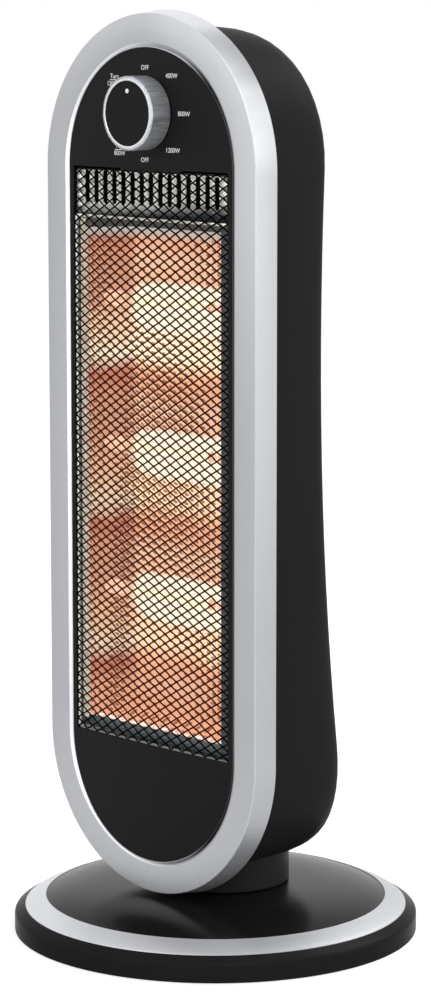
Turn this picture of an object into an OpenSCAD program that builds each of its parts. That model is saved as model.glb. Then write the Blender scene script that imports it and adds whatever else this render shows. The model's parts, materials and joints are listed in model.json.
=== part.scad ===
// Free-standing halogen heater: a swinging tower head on a round weighted base.
// Millimetres, +Z up. The origin is on the floor under the middle of the base, and
// the front of the heater faces -Y.

/* [Base] */
// Diameter of the round base
base_d = 280; // [260:5:320]
// Height of the base's crown above the floor
base_h = 33; // [31:0.5:36]
// Fall of the crown from its middle to its rim
base_fall = 20; // [18:0.5:21]
// Squareness of that fall: higher keeps the middle flatter
crown_power = 4.5; // [4:0.1:5]
// Wall of the base moulding
base_wall = 2.5; // [2:0.1:3]
// Round on the base's outer edge
base_edge_r = 3; // [2:0.25:4]
// Inner diameter of the silver ring on the base
trim_in_d = 236; // [225:1:240]
// Width of that ring, measured across the base
trim_w = 14.5; // [10:0.5:15.5]
// Thickness of that ring
trim_t = 1.2; // [1:0.1:1.5]
// Height by which the ring stands proud of the crown
trim_proud = 0.4; // [0.2:0.1:0.6]
// Thickness of the bottom cover
cover_t = 1.8; // [1.5:0.1:2]
// Diameter of a rubber foot
foot_d = 18; // [14:1:22]
// Gap that the feet leave between the floor and the bottom cover
foot_gap = 2.2; // [2:0.1:3]
// Gap between the floor and the lower edge of the base moulding
edge_gap = 0.6; // [0.4:0.1:1.6]
// Number of feet
foot_n = 5; // [4:1:6]
// Thickness of the counterweight
weight_t = 9; // [5:0.5:10]

/* [Swivel and drive] */
// Distance of the swivel axis behind the middle of the base
swivel_y = 8; // [4:0.5:10]
// Outer diameter of the round neck
neck_d = 91; // [86:0.5:92]
// Wall of the neck
neck_wall = 2.5; // [2:0.1:3]
// Height by which the neck reaches into the housing
neck_reach = 15.9; // [14:0.1:18]
// Outer diameter of the swivel tube
tube_d = 44; // [40:0.5:46]
// Clear bore of the swivel tube, for the leads
tube_bore = 30; // [24:0.5:31]
// Thickness of the bearing washer under the neck
washer_t = 1.6; // [1.2:0.1:2]
// Module of the swing gears
gear_module = 1.5; // [1.4:0.05:1.55]
// Teeth on the big gear
gear_teeth = 60; // [56:1:62]
// Teeth on the motor's pinion
pinion_teeth = 12; // [12:1:14]
// Width of the big gear's teeth
gear_t = 5.5; // [4:0.5:6]
// Diameter of the swing motor
motor_d = 50; // [40:1:52]
// Air gap under the swing motor
motor_gap = 3; // [2:0.5:5]

/* [Head outline] */
// Width of the head, across the rear edge of the silver ring
head_w = 209; // [205:1:215]
// Height of the window, and of the head's straight sides
window_h = 390; // [370:2:410]
// Gap between the head's lowest edge and the top of the base
head_clear = 0.5; // [0.5:0.1:3]
// Taper of the silver ring from its rear edge to its front face
ring_flare = 2.2; // [1.5:0.1:3]
// Width of the silver ring's front, with its bevel
ring_w = 22.3; // [21.8:0.1:23]
// Distance of the front face in front of the middle of the base
head_front = 61.5; // [60:0.5:64]
// Depth of the silver ring from front to back
ring_depth = 17.5; // [16.5:0.5:20]
// Drop of the bevel inside the silver ring
bevel_drop = 1.2; // [1:0.1:1.5]
// Width of that bevel
bevel_w = 3.5; // [3:0.25:5]

/* [Rear housing] */
// Step inwards from the ring's rear edge to the rear housing
housing_step = 10.6; // [10:0.1:11.5]
// Wall of the rear housing
housing_wall = 2.5; // [2:0.1:3]
// Depth of the housing behind the ring at its waist
waist_depth = 61; // [58:0.5:70]
// Place of the waist along the straight sides, from 0 at the bottom to 1 at the top
waist_share = 0.7; // [0.6:0.05:0.8]
// Swell of the back from the waist to the lower end of the straight sides
swell_low = 17.8; // [13:0.2:22]
// Swell of the back from the waist to their upper end
swell_high = 2.9; // [1.5:0.1:4]
// Extra swell of the heel at the very bottom
swell_heel = 16.8; // [10:0.2:19]
// Width of the rounded shoulder around the back
shoulder_w = 20.3; // [16:0.5:26]
// Squareness of that shoulder: 2 is round, more is boxier
shoulder_n = 4.3; // [3:0.1:6]
// Height of a vent slot in the back
vent_h = 4; // [3:0.5:5]
// Length of a vent slot in the back
vent_len = 44; // [30:1:50]

/* [Front] */
// Thickness of the black front panel
panel_t = 2.3; // [2:0.1:2.6]
// Forward bow of the panel and the mesh, across the width inside the ring
panel_bow = 2.6; // [1:0.1:3]
// Width of the panel beside the window
window_margin = 4; // [4:0.1:6]
// Strand width of the guard mesh
strand_w = 1; // [0.8:0.1:1.4]
// Diamonds of the guard mesh, counted across
mesh_cols = 6; // [4:1:6]
// Diamonds of the guard mesh, counted upwards
mesh_rows = 22; // [14:1:22]
// Thickness of the reflector and shield sheets
sheet_t = 0.8; // [0.6:0.1:1]
// Height of the slotted plate above the reflector
vent_plate_h = 35; // [30:1:40]
// Number of slots in that plate
slot_n = 15; // [9:1:16]
// Width of one of them
slot_w = 4.5; // [3:0.1:4.8]

/* [Lamps] */
// Number of quartz lamps
lamp_n = 3; // [2:1:4]
// Diameter of a quartz tube
lamp_d = 10; // [8:0.5:11]
// Wall of a quartz tube
lamp_wall = 1; // [0.8:0.1:1.2]
// Depth of the lamp axis behind the middle of the panel's front
lamp_back = 18.3; // [16:0.5:20]

/* [Knob] */
// Diameter of the control knob
knob_d = 49; // [44:0.5:52]
// Depth of the control knob
knob_depth = 17; // [16:0.5:20]
// Height of the knob's axis above the window
knob_rise = 37; // [34:0.5:40]
// Width of the knob's silver rim
knob_rim_w = 3.2; // [2.6:0.1:4]
// Number of ridges around the knob
knurl_n = 60; // [40:1:72]

/* [Hidden] */

$fn = 48;

// Clearances, each used wherever two pieces meet in the same way
fit_gap = 0.1;      // between pieces that are pushed together
run_gap = 0.08;     // round a shaft or tube that turns
face_gap = 0.05;    // between a part laid in a groove and the groove
play = 0.2;         // under the head, above its bearing washer

// Screws: shank radius, head radius and head height
screw_r = 1.5;
screw_head_r = 2.6;
screw_head_h = 1.4;
small_screw_r = 1.1;
small_head_r = 1.9;
small_head_h = 1.1;

// --- Base heights and radii, from the floor upwards
base_r = base_d / 2;
cover_z = foot_gap;                       // underside of the bottom cover
cover_top_z = cover_z + cover_t;
shelf_w = 2;                              // ledge that the bottom cover stops at
shelf_r = base_r - base_wall - shelf_w;
cover_r = base_r - base_wall - 0.3;
trim_in_r = trim_in_d / 2;
trim_out_r = trim_in_r + trim_w;
foot_r = foot_d / 2;
foot_recess = 0.8;
base_screw_n = 6;
base_screw_turn = 0;                      // keeps the posts clear of the cord at the back
base_post_r = 4;
base_screw_ring_r = shelf_r - base_post_r - 4.5;
weight_out_r = base_screw_ring_r - base_post_r - 3;
weight_in_r = weight_out_r - 52;
weight_arc = 150;
weight_screw_ring_r = (weight_in_r + weight_out_r) / 2;
foot_ring_r = weight_screw_ring_r + screw_head_r + foot_r + 2.2;
weight_screw_angles = [210, 270, 330];

// --- Swivel stack, from the crown downwards
washer_seat = washer_t - 0.4;             // depth of the washer's recess
washer_top_z = base_h - washer_seat + washer_t;
neck_z = washer_top_z + play;             // underside of the neck
neck_r = neck_d / 2;
neck_floor = 3;
tube_r = tube_d / 2;
tube_bore_r = tube_bore / 2;
spigot_r = tube_r - 2.5;                  // narrower end that carries the gear
hub_wall = 6;
hub_z = base_h - 6.2;                     // underside of the bearing boss
gear_top_z = hub_z - 0.3;
gear_z = gear_top_z - gear_t;
retainer_t = 2;
retainer_r = spigot_r + 5;
retainer_screw_ring_r = (spigot_r + tube_bore_r) / 2;
washer_in_r = tube_r + 3;
neck_post_r = 3.5;
neck_screw_ring_r = neck_r - neck_wall - neck_post_r + 0.6;
washer_out_r = neck_screw_ring_r - screw_head_r - 1;
neck_screw_n = 4;

// --- Swing drive
pressure_angle = 25;
backlash = 0.2;
gear_r = gear_module * gear_teeth / 2;
pinion_r = gear_module * pinion_teeth / 2;
motor_y = swivel_y + gear_r + pinion_r;
motor_r = motor_d / 2;
motor_top_z = gear_z - retainer_t;
motor_h = motor_top_z - cover_top_z - motor_gap;
motor_ear_t = 1;
motor_ear_x = motor_r + 5.5;
shaft_r = 3;
shaft_top_z = gear_top_z + 0.8;
pinion_z = gear_z - 0.4;

// --- Cord inlet at the back of the base
cord_r = 3.2;
grommet_r = cord_r + 1;
grommet_flange_r = grommet_r + 0.4;
grommet_z = cover_top_z + grommet_flange_r + 0.2;
grommet_out_y = base_r - 0.8;
grommet_in_y = grommet_out_y - 6;
flange_t = 1.5;
clamp_y = base_r - 20;
clamp_half_x = 9;
clamp_t = 1.2;
clamp_post_z = cover_top_z + 3;

// --- Tip-over switch, from the crown downwards
tip_x = -base_r * 0.6;
tip_y = 10;
tip_rod_r = 4;
tip_collar_t = 1.5;
tip_stem_r = 2.4;
tip_bracket_t = 1.6;
tip_switch_h = 5.2;
tip_far_r = norm([tip_x - 7, tip_y + 3.6]);
tip_bracket_z = crown_z(tip_far_r) - base_wall - 0.6 - tip_switch_h - tip_bracket_t;
tip_travel = (tip_bracket_z - cover_top_z) / 3.2;
tip_collar_z = cover_top_z + tip_travel + 0.5;
tip_stem_top_z = tip_bracket_z + tip_bracket_t + 0.3;
tip_post_x = 12;
tip_post_r = 3;
spring_wire_r = 0.3;
spring_turns = 4;

// --- Head, from its outline inwards
ring_rear_r = head_w / 2;
ring_front_r = ring_rear_r - ring_flare;
ring_in_r = ring_front_r - ring_w;        // where the black panel begins
housing_r = ring_rear_r - housing_step;
arch_low_z = base_h + head_clear + ring_rear_r;
arch_high_z = arch_low_z + window_h;
neck_top_z = arch_low_z - housing_r + neck_reach;
neck_screw_top_z = neck_top_z + 7;        // tips of the screws that hold the housing
waist_z = arch_low_z + waist_share * window_h;

// --- Head, front to back: each depth is a Y coordinate
front_y = -head_front;
panel_y = front_y + bevel_drop;           // edge of the black panel
panel_back_y = panel_y + panel_t;
panel_mid_y = panel_y - panel_bow;        // foremost line of the black panel
panel_mid_back_y = panel_mid_y + panel_t;
bow_r = (ring_in_r * ring_in_r + panel_bow * panel_bow) / 2 / panel_bow;
ledge_y = panel_y + 1;                    // black ledge under the silver ring
ledge_back_y = ledge_y + 2;
panel_r = ring_in_r - fit_gap;
ledge_in_r = panel_r - 1.8;
ring_back_y = front_y + ring_depth;       // rear edge of the silver ring
lip_t = 2;
lip_y = ring_back_y - lip_t;              // front of the housing's lip
ring_skin = 1.9;
lip_r = ring_rear_r - ring_skin - 0.4;
cover_front_r = ring_front_r - 2.2;
cover_skirt = 2;
housing_y = lip_y + 0.2;
cover_screw_r = (housing_r + lip_r) / 2 - 0.6;
cover_boss_r = 2.7;

window_w = 2 * (ring_in_r - window_margin);
window_z = arch_low_z;
window_top_z = arch_high_z;
rim_w = 1.2;                              // wall of the guard's rim
rim_half_w = window_w / 2 - 0.2;
guard_flange = 2;
guard_sink = 0.3;                         // the mesh sits this far behind the panel's front
guard_t = 0.8;
guard_y = panel_y + guard_sink;
guard_back_y = panel_back_y + guard_t;
open_half_w = rim_half_w - rim_w;         // half width of the clear opening
open_z = window_z + 0.2 + rim_w;
open_top_z = window_top_z - 0.2 - rim_w;

// Reflector trough: half widths and depths of its folds
trough_w1 = open_half_w - 8.6;
trough_w2 = open_half_w - 24.6;
trough_y1 = guard_back_y + 3.7;
trough_y2 = guard_back_y + 27.2;
trough_z1 = open_z + 8;
trough_z2 = open_z + 14;
trough_top_z = open_top_z - vent_plate_h + 1.4;
reflector_flange = 10.5;
bracket_t = 1.2;
bracket_x = open_half_w + 2.4;
bracket_z0 = window_z + 10;
bracket_z1 = trough_top_z - 5;
frame_screw_x = open_half_w + 7.8;
frame_screw_z = [bracket_z0 + 8, (bracket_z0 + bracket_z1) / 2 - 15, bracket_z1 - 8];

// Lamps
lamp_y = panel_y + lamp_back;
lamp_mid_z = window_z + window_h / 2 + 5;
lamp_pitch = window_h / (lamp_n + 0.9);
lamp_r = lamp_d / 2;
cap_r = lamp_r + 1.6;
cap_x0 = trough_w1 + 3;
cap_x1 = bracket_x + bracket_t + 7.5;
cap_bore = 7;
lamp_half = cap_x0 + cap_bore - 0.4;
lamp_z = [for (i = [0:lamp_n - 1]) lamp_mid_z + (i - (lamp_n - 1) / 2) * lamp_pitch];

// Heat shield behind the trough
shield_y = trough_y2 + 13;
shield_half_w = trough_w2 + 10;
shield_z0 = window_z + 20;
shield_z1 = trough_top_z + 8;
shield_tab_z = [shield_z0 + 30, shield_z1 - 30];

// Control knob, switch and shaft
knob_r = knob_d / 2;
knob_z = arch_high_z + knob_rise;
knob_back_y = panel_mid_y - 0.3;
knob_front_y = knob_back_y - knob_depth;
knob_face_r = knob_r - knob_rim_w;
knob_wall = 2.2;
knob_face_t = 3;
knob_sink = 0.5;                          // face sits this far behind the rim
bushing_r = 4.7;
bushing_y = panel_mid_y - 4;
nut_af = 14;
nut_t = 2;
switch_w = 30;
switch_depth = 21;
shaft_front_y = knob_front_y + knob_sink + knob_face_t + 1.5;
pointer_r = 1.5;
pointer_up = 14.7;

// ---------------------------------------------------------------- helpers

// Height of the base's crown at a distance from its middle
function crown_z(r) = base_h - base_fall * pow(r / base_r, crown_power);

// Points of the crown from one radius to another, lowered by a drop
function crown_points(r0, r1, n, drop) =
    [for (i = [0:n]) let (r = r0 + (r1 - r0) * i / n) [r, crown_z(r) - drop]];

// Places children at equal angles round the Z axis
module ring_of(n, r, first = 0) {
    for (i = [0:n - 1]) rotate([0, 0, first + 360 * i / n]) translate([r, 0, 0]) children();
}

// Ring with a rectangular section, standing on z0
module tube(ro, ri, z0, z1) {
    translate([0, 0, z0]) difference() {
        cylinder(r = ro, h = z1 - z0);
        translate([0, 0, -1]) cylinder(r = ri, h = z1 - z0 + 2);
    }
}

// Pan-head screw: the head's underside is at the origin and the shank runs down -Z
module screw(r, head_r, head_h, len) {
    translate([0, 0, -len]) cylinder(r = r, h = len + head_h / 2, $fn = 24);
    rotate_extrude($fn = 32)
        polygon([[0, 0], [head_r, 0], [head_r, head_h * 0.45], [head_r * 0.8, head_h * 0.85],
                 [head_r * 0.4, head_h], [0, head_h]]);
}

// Flat outline of the head: two arches joined by straight sides
module stadium(r) {
    translate([0, arch_low_z]) circle(r = r, $fn = 120);
    translate([0, arch_high_z]) circle(r = r, $fn = 120);
    translate([-r, arch_low_z]) square([2 * r, arch_high_z - arch_low_z]);
}

// Stands a flat XZ outline up between two depths
module upright(y0, y1) {
    translate([0, y1, 0]) rotate([90, 0, 0]) linear_extrude(height = y1 - y0) children();
}

// Everything behind the bowed front, with that front lowered by a thickness
module behind_bow(t) {
    translate([0, panel_mid_y + bow_r, 0]) cylinder(r = bow_r - t, h = 2 * arch_high_z, $fn = 720);
}

// Bowed sheet cut to a flat XZ outline, between two depths behind the panel's front
module bowed(t0, t1) {
    difference() {
        intersection() {
            upright(panel_mid_y - 1, panel_back_y + 5) children();
            behind_bow(t0);
        }
        behind_bow(t1);
    }
}

// Depth of the bowed front at a distance from the middle
function bow_y(x) = panel_mid_y + bow_r - sqrt(bow_r * bow_r - x * x);

// Sweeps a profile round the head: profile X is the distance from the arch centres
// or the centre line, and profile Y is the depth
module around_head() {
    translate([0, 0, arch_low_z]) rotate([-90, 0, 0])
        rotate_extrude(angle = 180, $fn = 120) children();
    translate([0, 0, arch_high_z]) mirror([0, 0, 1]) rotate([-90, 0, 0])
        rotate_extrude(angle = 180, $fn = 120) children();
    for (side = [0, 1]) mirror([side, 0, 0]) translate([0, 0, arch_low_z])
        linear_extrude(height = arch_high_z - arch_low_z) children();
}

// Upright rectangle with round corners
module round_rect(half_w, z0, z1, r) {
    translate([-half_w + r, z0]) square([2 * (half_w - r), z1 - z0]);
    translate([-half_w, z0 + r]) square([2 * half_w, z1 - z0 - 2 * r]);
    for (x = [-1, 1], z = [z0 + r, z1 - r]) translate([x * (half_w - r), z]) circle(r = r, $fn = 32);
}

// Slot with round ends, centred
module slot(len, h) {
    square([len - h, h], center = true);
    for (x = [-1, 1]) translate([x * (len - h) / 2, 0]) circle(r = h / 2, $fn = 24);
}

// Unbroken tube through a list of rings of points, closed at both ends
module swept_tube(rings) {
    n = len(rings);
    m = len(rings[0]);
    polyhedron(
        points = [for (ring = rings) each ring],
        faces = concat(
            [for (k = [0:n - 2], i = [0:m - 1]) let (j = (i + 1) % m)
                each [[k * m + i, k * m + j, (k + 1) * m + j], [k * m + i, (k + 1) * m + j, (k + 1) * m + i]]],
            [[for (i = [m - 1:-1:0]) i]],
            [[for (i = [0:m - 1]) (n - 1) * m + i]]));
}

// ---------------------------------------------------------------- base

module at_swivel() { translate([0, swivel_y, 0]) children(); }
module at_motor() { translate([0, motor_y, 0]) children(); }
module at_tip() { translate([tip_x, tip_y, 0]) children(); }

// The crown's slope at the rim sets where the edge round begins
edge_slope = atan(crown_power * base_fall / base_r);
edge_start_r = base_r - base_edge_r * (1 - sin(edge_slope));
edge_mid_z = crown_z(edge_start_r) - base_edge_r * cos(edge_slope);

module base_profile() {
    polygon(concat(
        crown_points(0, edge_start_r, 16, 0),
        [for (i = [1:5]) let (a = (90 - edge_slope) * (1 - i / 5))
            [base_r - base_edge_r + base_edge_r * cos(a), edge_mid_z + base_edge_r * sin(a)]],
        [[base_r, edge_gap], [base_r - base_wall, edge_gap], [base_r - base_wall, cover_top_z],
         [shelf_r, cover_top_z]],
        crown_points(shelf_r, 0, 12, base_wall)));
}

// Everything that hangs under the crown stops half way into its wall
module under_crown() {
    intersection() {
        union() children();
        rotate_extrude($fn = 128)
            polygon(concat([[0, cover_top_z]], crown_points(0, shelf_r + 1, 12, base_wall / 2),
                           [[shelf_r + 1, cover_top_z]]));
    }
}

module post(r, z) { translate([0, 0, z]) cylinder(r = r, h = base_h, $fn = 32); }

module base_posts() {
    ring_of(base_screw_n, base_screw_ring_r, base_screw_turn) post(base_post_r, cover_top_z);
    at_swivel() post(tube_r + hub_wall, hub_z);
    at_motor() for (x = [-1, 1]) translate([x * motor_ear_x, 0, 0]) post(4, motor_top_z);
    at_tip() for (x = [-1, 1]) translate([x * tip_post_x, 0, 0])
        post(tip_post_r, tip_bracket_z + tip_bracket_t);
    for (x = [-1, 1]) translate([x * clamp_half_x, clamp_y, 0]) post(3.2, clamp_post_z);
    // saddle rib above the cord, and the block that the grommet sits in
    translate([-clamp_half_x, clamp_y - 1.5, grommet_z + cord_r])
        cube([2 * clamp_half_x, 3, base_h]);
    translate([-grommet_r - 4, grommet_in_y + flange_t, cover_top_z])
        cube([2 * (grommet_r + 4), base_wall + 3, base_h]);
    // radial stiffening ribs, which stay clear of the drive and the weight
    for (i = [0:base_screw_n - 1]) rotate([0, 0, base_screw_turn + 360 * i / base_screw_n])
        translate([base_screw_ring_r - 40, -0.9, cover_top_z + weight_t + 3]) cube([40, 1.8, base_h]);
}

module base_pilots() {
    ring_of(base_screw_n, base_screw_ring_r, base_screw_turn)
        translate([0, 0, cover_z]) cylinder(r = screw_r + face_gap, h = 12, $fn = 24);
    at_motor() for (x = [-1, 1]) translate([x * motor_ear_x, 0, motor_top_z - 1])
        cylinder(r = screw_r + face_gap, h = 7, $fn = 24);
    at_tip() for (x = [-1, 1]) translate([x * tip_post_x, 0, tip_bracket_z])
        cylinder(r = small_screw_r + face_gap, h = 6, $fn = 24);
    for (x = [-1, 1]) translate([x * clamp_half_x, clamp_y, clamp_post_z - 1])
        cylinder(r = small_screw_r + face_gap, h = 8, $fn = 24);
}

module base_shell() {
    color([0.09, 0.09, 0.095]) difference() {
        union() {
            rotate_extrude($fn = 128) base_profile();
            under_crown() base_posts();
        }
        base_pilots();
        at_swivel() {
            translate([0, 0, base_h - washer_seat]) cylinder(r = washer_out_r + fit_gap, h = 5);
            cylinder(r = tube_r + run_gap, h = base_h + 5, $fn = 64);
        }
        // groove for the silver ring
        rotate_extrude($fn = 128)
            polygon(concat(crown_points(trim_in_r - fit_gap, trim_out_r + fit_gap, 4, trim_t - trim_proud),
                           [[trim_out_r + fit_gap, base_h], [trim_in_r - fit_gap, base_h]]));
        // grommet hole and the pocket for its flange
        translate([0, grommet_in_y, grommet_z]) rotate([-90, 0, 0]) cylinder(r = grommet_r + face_gap, h = 20);
        translate([0, grommet_out_y - flange_t, grommet_z]) rotate([-90, 0, 0])
            cylinder(r = grommet_flange_r + face_gap, h = 20);
    }
}

module base_trim_ring() {
    color([0.78, 0.79, 0.81]) rotate_extrude($fn = 128)
        polygon(concat(crown_points(trim_in_r, trim_out_r, 4, -trim_proud),
                       crown_points(trim_out_r, trim_in_r, 4, trim_t - trim_proud - face_gap)));
}

module foot_places() { ring_of(foot_n, foot_ring_r, 90 + 180 / foot_n) children(); }

module weight_places() {
    for (a = weight_screw_angles) rotate([0, 0, a]) translate([weight_screw_ring_r, 0, 0]) children();
}

module bottom_cover() {
    color([0.16, 0.16, 0.17]) difference() {
        translate([0, 0, cover_z]) cylinder(r = cover_r, h = cover_t, $fn = 128);
        foot_places() translate([0, 0, cover_z - 1]) cylinder(r = foot_r + fit_gap, h = 1 + foot_recess);
        ring_of(base_screw_n, base_screw_ring_r, base_screw_turn) cylinder(r = screw_r + 0.2, h = 20, $fn = 24);
        weight_places() cylinder(r = screw_r + 0.2, h = 20, $fn = 24);
        at_tip() cylinder(r = tip_rod_r + 0.4, h = 20);
        // air slots under the swing motor
        for (i = [-2:2]) translate([i * 7, motor_y, 0]) linear_extrude(height = 20)
            rotate([0, 0, 90]) slot(24, 3);
    }
}

module rubber_feet() {
    color([0.05, 0.05, 0.05]) foot_places() difference() {
        cylinder(r = foot_r, h = cover_z + foot_recess);
        translate([0, 0, -1]) cylinder(r = foot_r * 0.35, h = 1.8);
    }
}

module base_screws() {
    color([0.6, 0.6, 0.62]) ring_of(base_screw_n, base_screw_ring_r, base_screw_turn)
        translate([0, 0, cover_z]) rotate([180, 0, 0]) screw(screw_r, screw_head_r, screw_head_h, 11);
}

module counterweight() {
    color([0.3, 0.3, 0.31]) difference() {
        translate([0, 0, cover_top_z]) rotate([0, 0, 270 - weight_arc / 2])
            rotate_extrude(angle = weight_arc, $fn = 96)
                polygon([[weight_in_r, 0], [weight_out_r, 0], [weight_out_r, weight_t - 2],
                         [weight_out_r - 2, weight_t], [weight_in_r, weight_t]]);
        weight_places() cylinder(r = screw_r + face_gap, h = cover_top_z + 7, $fn = 24);
    }
}

module weight_screws() {
    color([0.6, 0.6, 0.62]) weight_places() translate([0, 0, cover_z]) rotate([180, 0, 0])
        screw(screw_r, screw_head_r, screw_head_h, 7);
}

module swivel_washer() {
    color([0.85, 0.84, 0.8]) at_swivel() tube(washer_out_r, washer_in_r, base_h - washer_seat, washer_top_z);
}

module swing_motor() {
    color([0.62, 0.6, 0.5]) at_motor() difference() {
        union() {
            translate([0, 0, motor_top_z - motor_h]) cylinder(r = motor_r, h = motor_h - motor_ear_t, $fn = 96);
            translate([0, 0, motor_top_z - motor_ear_t]) linear_extrude(height = motor_ear_t) {
                circle(r = motor_r - 1, $fn = 96);
                slot(2 * (motor_ear_x + 4.5), 9);
            }
        }
        translate([0, 0, motor_top_z - motor_h + 4]) cylinder(r = shaft_r + run_gap, h = motor_h);
        for (x = [-1, 1]) translate([x * motor_ear_x, 0, 0]) cylinder(r = screw_r + 0.2, h = 40, $fn = 24);
    }
}

module motor_screws() {
    color([0.6, 0.6, 0.62]) at_motor() for (x = [-1, 1])
        translate([x * motor_ear_x, 0, motor_top_z - motor_ear_t]) rotate([180, 0, 0])
            screw(screw_r, screw_head_r, screw_head_h, motor_ear_t + 5);
}

module cord_grommet() {
    color([0.07, 0.07, 0.07]) translate([0, grommet_out_y, grommet_z]) rotate([90, 0, 0])
        rotate_extrude() polygon([
            [cord_r, 0], [grommet_flange_r, 0], [grommet_flange_r, flange_t - face_gap],
            [grommet_r, flange_t - face_gap], [grommet_r, grommet_out_y - grommet_in_y], [cord_r, grommet_out_y - grommet_in_y]]);
}

module cord_clamp() {
    color([0.14, 0.14, 0.15]) difference() {
        translate([0, clamp_y, clamp_post_z - clamp_t]) linear_extrude(height = clamp_t)
            slot(2 * (clamp_half_x + 4), 8);
        for (x = [-1, 1]) translate([x * clamp_half_x, clamp_y, 0])
            cylinder(r = small_screw_r + 0.2, h = 20, $fn = 24);
    }
}

module clamp_screws() {
    color([0.6, 0.6, 0.62]) for (x = [-1, 1]) translate([x * clamp_half_x, clamp_y, clamp_post_z - clamp_t])
        rotate([180, 0, 0]) screw(small_screw_r, small_head_r, small_head_h, clamp_t + 6);
}

// Three-way terminal block that stands on the bottom cover beside the cord
terminal_ways = 3;
terminal_pitch = 9;
module terminal_block() {
    color([0.88, 0.87, 0.83]) translate([clamp_half_x + 12, clamp_y - 22, cover_top_z]) difference() {
        union() {
            cube([terminal_ways * terminal_pitch, 16, 4]);
            for (i = [0:terminal_ways - 1]) translate([i * terminal_pitch + 0.7, 1.5, 0])
                cube([terminal_pitch - 1.4, 13, 11]);
        }
        for (i = [0:terminal_ways - 1]) translate([(i + 0.5) * terminal_pitch, 0, 0]) {
            for (y = [4.5, 11.5]) translate([0, y, 5]) cylinder(r = 1.9, h = 10, $fn = 24);
            translate([0, -1, 4]) rotate([-90, 0, 0]) cylinder(r = 1.6, h = 20, $fn = 24);
        }
    }
}

// ---------------------------------------------------------------- tip-over switch

module tip_bracket() {
    color([0.85, 0.84, 0.8]) at_tip() difference() {
        translate([0, 0, tip_bracket_z]) linear_extrude(height = tip_bracket_t)
            slot(2 * (tip_post_x + 4), 12);
        translate([0, 0, tip_bracket_z - 1]) cylinder(r = tip_stem_r + run_gap, h = 10);
        for (x = [-1, 1]) translate([x * tip_post_x, 0, tip_bracket_z - 1])
            cylinder(r = small_screw_r + 0.2, h = 10, $fn = 24);
    }
}

module tip_screws() {
    color([0.6, 0.6, 0.62]) at_tip() for (x = [-1, 1]) translate([x * tip_post_x, 0, tip_bracket_z])
        rotate([180, 0, 0]) screw(small_screw_r, small_head_r, small_head_h, tip_bracket_t + 4);
}

// Sub-miniature snap switch, lying on the bracket with its button over the stem
module tip_switch() {
    color([0.1, 0.1, 0.11]) at_tip() difference() {
        translate([-7, -3.6, tip_bracket_z + tip_bracket_t]) cube([14, 7.2, tip_switch_h]);
        translate([0, 0, tip_bracket_z]) cylinder(r = tip_stem_r + 0.6, h = tip_bracket_t + 0.9);
    }
}

module tip_plunger() {
    color([0.8, 0.2, 0.12]) at_tip() {
        rotate_extrude() polygon([
            [0, 0], [tip_rod_r - 1, 0], [tip_rod_r, 1], [tip_rod_r, tip_collar_z],
            [tip_rod_r + 2, tip_collar_z], [tip_rod_r + 2, tip_collar_z + tip_collar_t],
            [tip_stem_r, tip_collar_z + tip_collar_t], [tip_stem_r, tip_stem_top_z], [0, tip_stem_top_z]]);
    }
}

spring_r = tip_stem_r + 1.2;
spring_z0 = tip_collar_z + tip_collar_t + spring_wire_r + 0.05;
spring_z1 = tip_bracket_z - spring_wire_r - 0.05;
module tip_spring() {
    sides = 6;
    per_turn = 8;
    rings = [for (k = [0:spring_turns * per_turn]) let (
        a = 360 * k / per_turn,
        z = spring_z0 + (spring_z1 - spring_z0) * k / (spring_turns * per_turn))
        [for (s = [0:sides - 1]) let (b = 360 * s / sides, r = spring_r + spring_wire_r * cos(b))
            [r * cos(a), r * sin(a), z + spring_wire_r * sin(b)]]];
    color([0.7, 0.7, 0.72]) at_tip() swept_tube(rings);
}

// ---------------------------------------------------------------- swing gears

// Angle in degrees that an involute flank has unrolled at a pressure angle
function unrolled(a) = tan(a) * 180 / PI - a;

// Half the angle of a tooth at radius r
function tooth_half(r, teeth) =
    let (pitch_r = gear_module * teeth / 2, root = pitch_r * cos(pressure_angle))
    90 / teeth - backlash / 4 / pitch_r * 180 / PI
        + unrolled(pressure_angle) - unrolled(acos(min(1, root / r)));

module gear_outline(teeth, turn) {
    pitch_r = gear_module * teeth / 2;
    foot = pitch_r - 1.25 * gear_module;
    tip = pitch_r + gear_module;
    start = max(foot, pitch_r * cos(pressure_angle));
    radii = [start, (start + tip) / 2, tip];
    flank = [for (r = radii) [r, tooth_half(r, teeth)]];
    side = concat([[foot, tooth_half(start, teeth) + 0.3]], flank);
    polygon([for (t = [0:teeth - 1]) let (mid = turn + 360 * t / teeth) each concat(
        [for (p = side) p[0] * [cos(mid - p[1]), sin(mid - p[1])]],
        [for (i = [len(side) - 1:-1:0]) let (p = side[i]) p[0] * [cos(mid + p[1]), sin(mid + p[1])]])]);
}

// Three keys lock the gear to the spigot
key_w = 5;
key_d = 1.5;
module keys(gap) {
    for (a = [30, 150, 270]) rotate([0, 0, a])
        translate([spigot_r - key_d - gap, -key_w / 2 - gap, gear_z - 5])
            cube([key_d + 2, key_w + 2 * gap, gear_t + 5 + 6 * gap]);
}

module swing_gear() {
    color([0.9, 0.89, 0.85]) at_swivel() {
        difference() {
            translate([0, 0, gear_z]) linear_extrude(height = gear_t) gear_outline(gear_teeth, 90);
            cylinder(r = spigot_r + face_gap, h = base_h, $fn = 64);
            // lightening holes between hub and teeth
            ring_of(9, (spigot_r + gear_r) / 2 + 2, 10) cylinder(r = 5, h = base_h);
        }
        intersection() {
            keys(0);
            tube(spigot_r + 0.5, 1, gear_z, gear_top_z);
        }
    }
}

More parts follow.
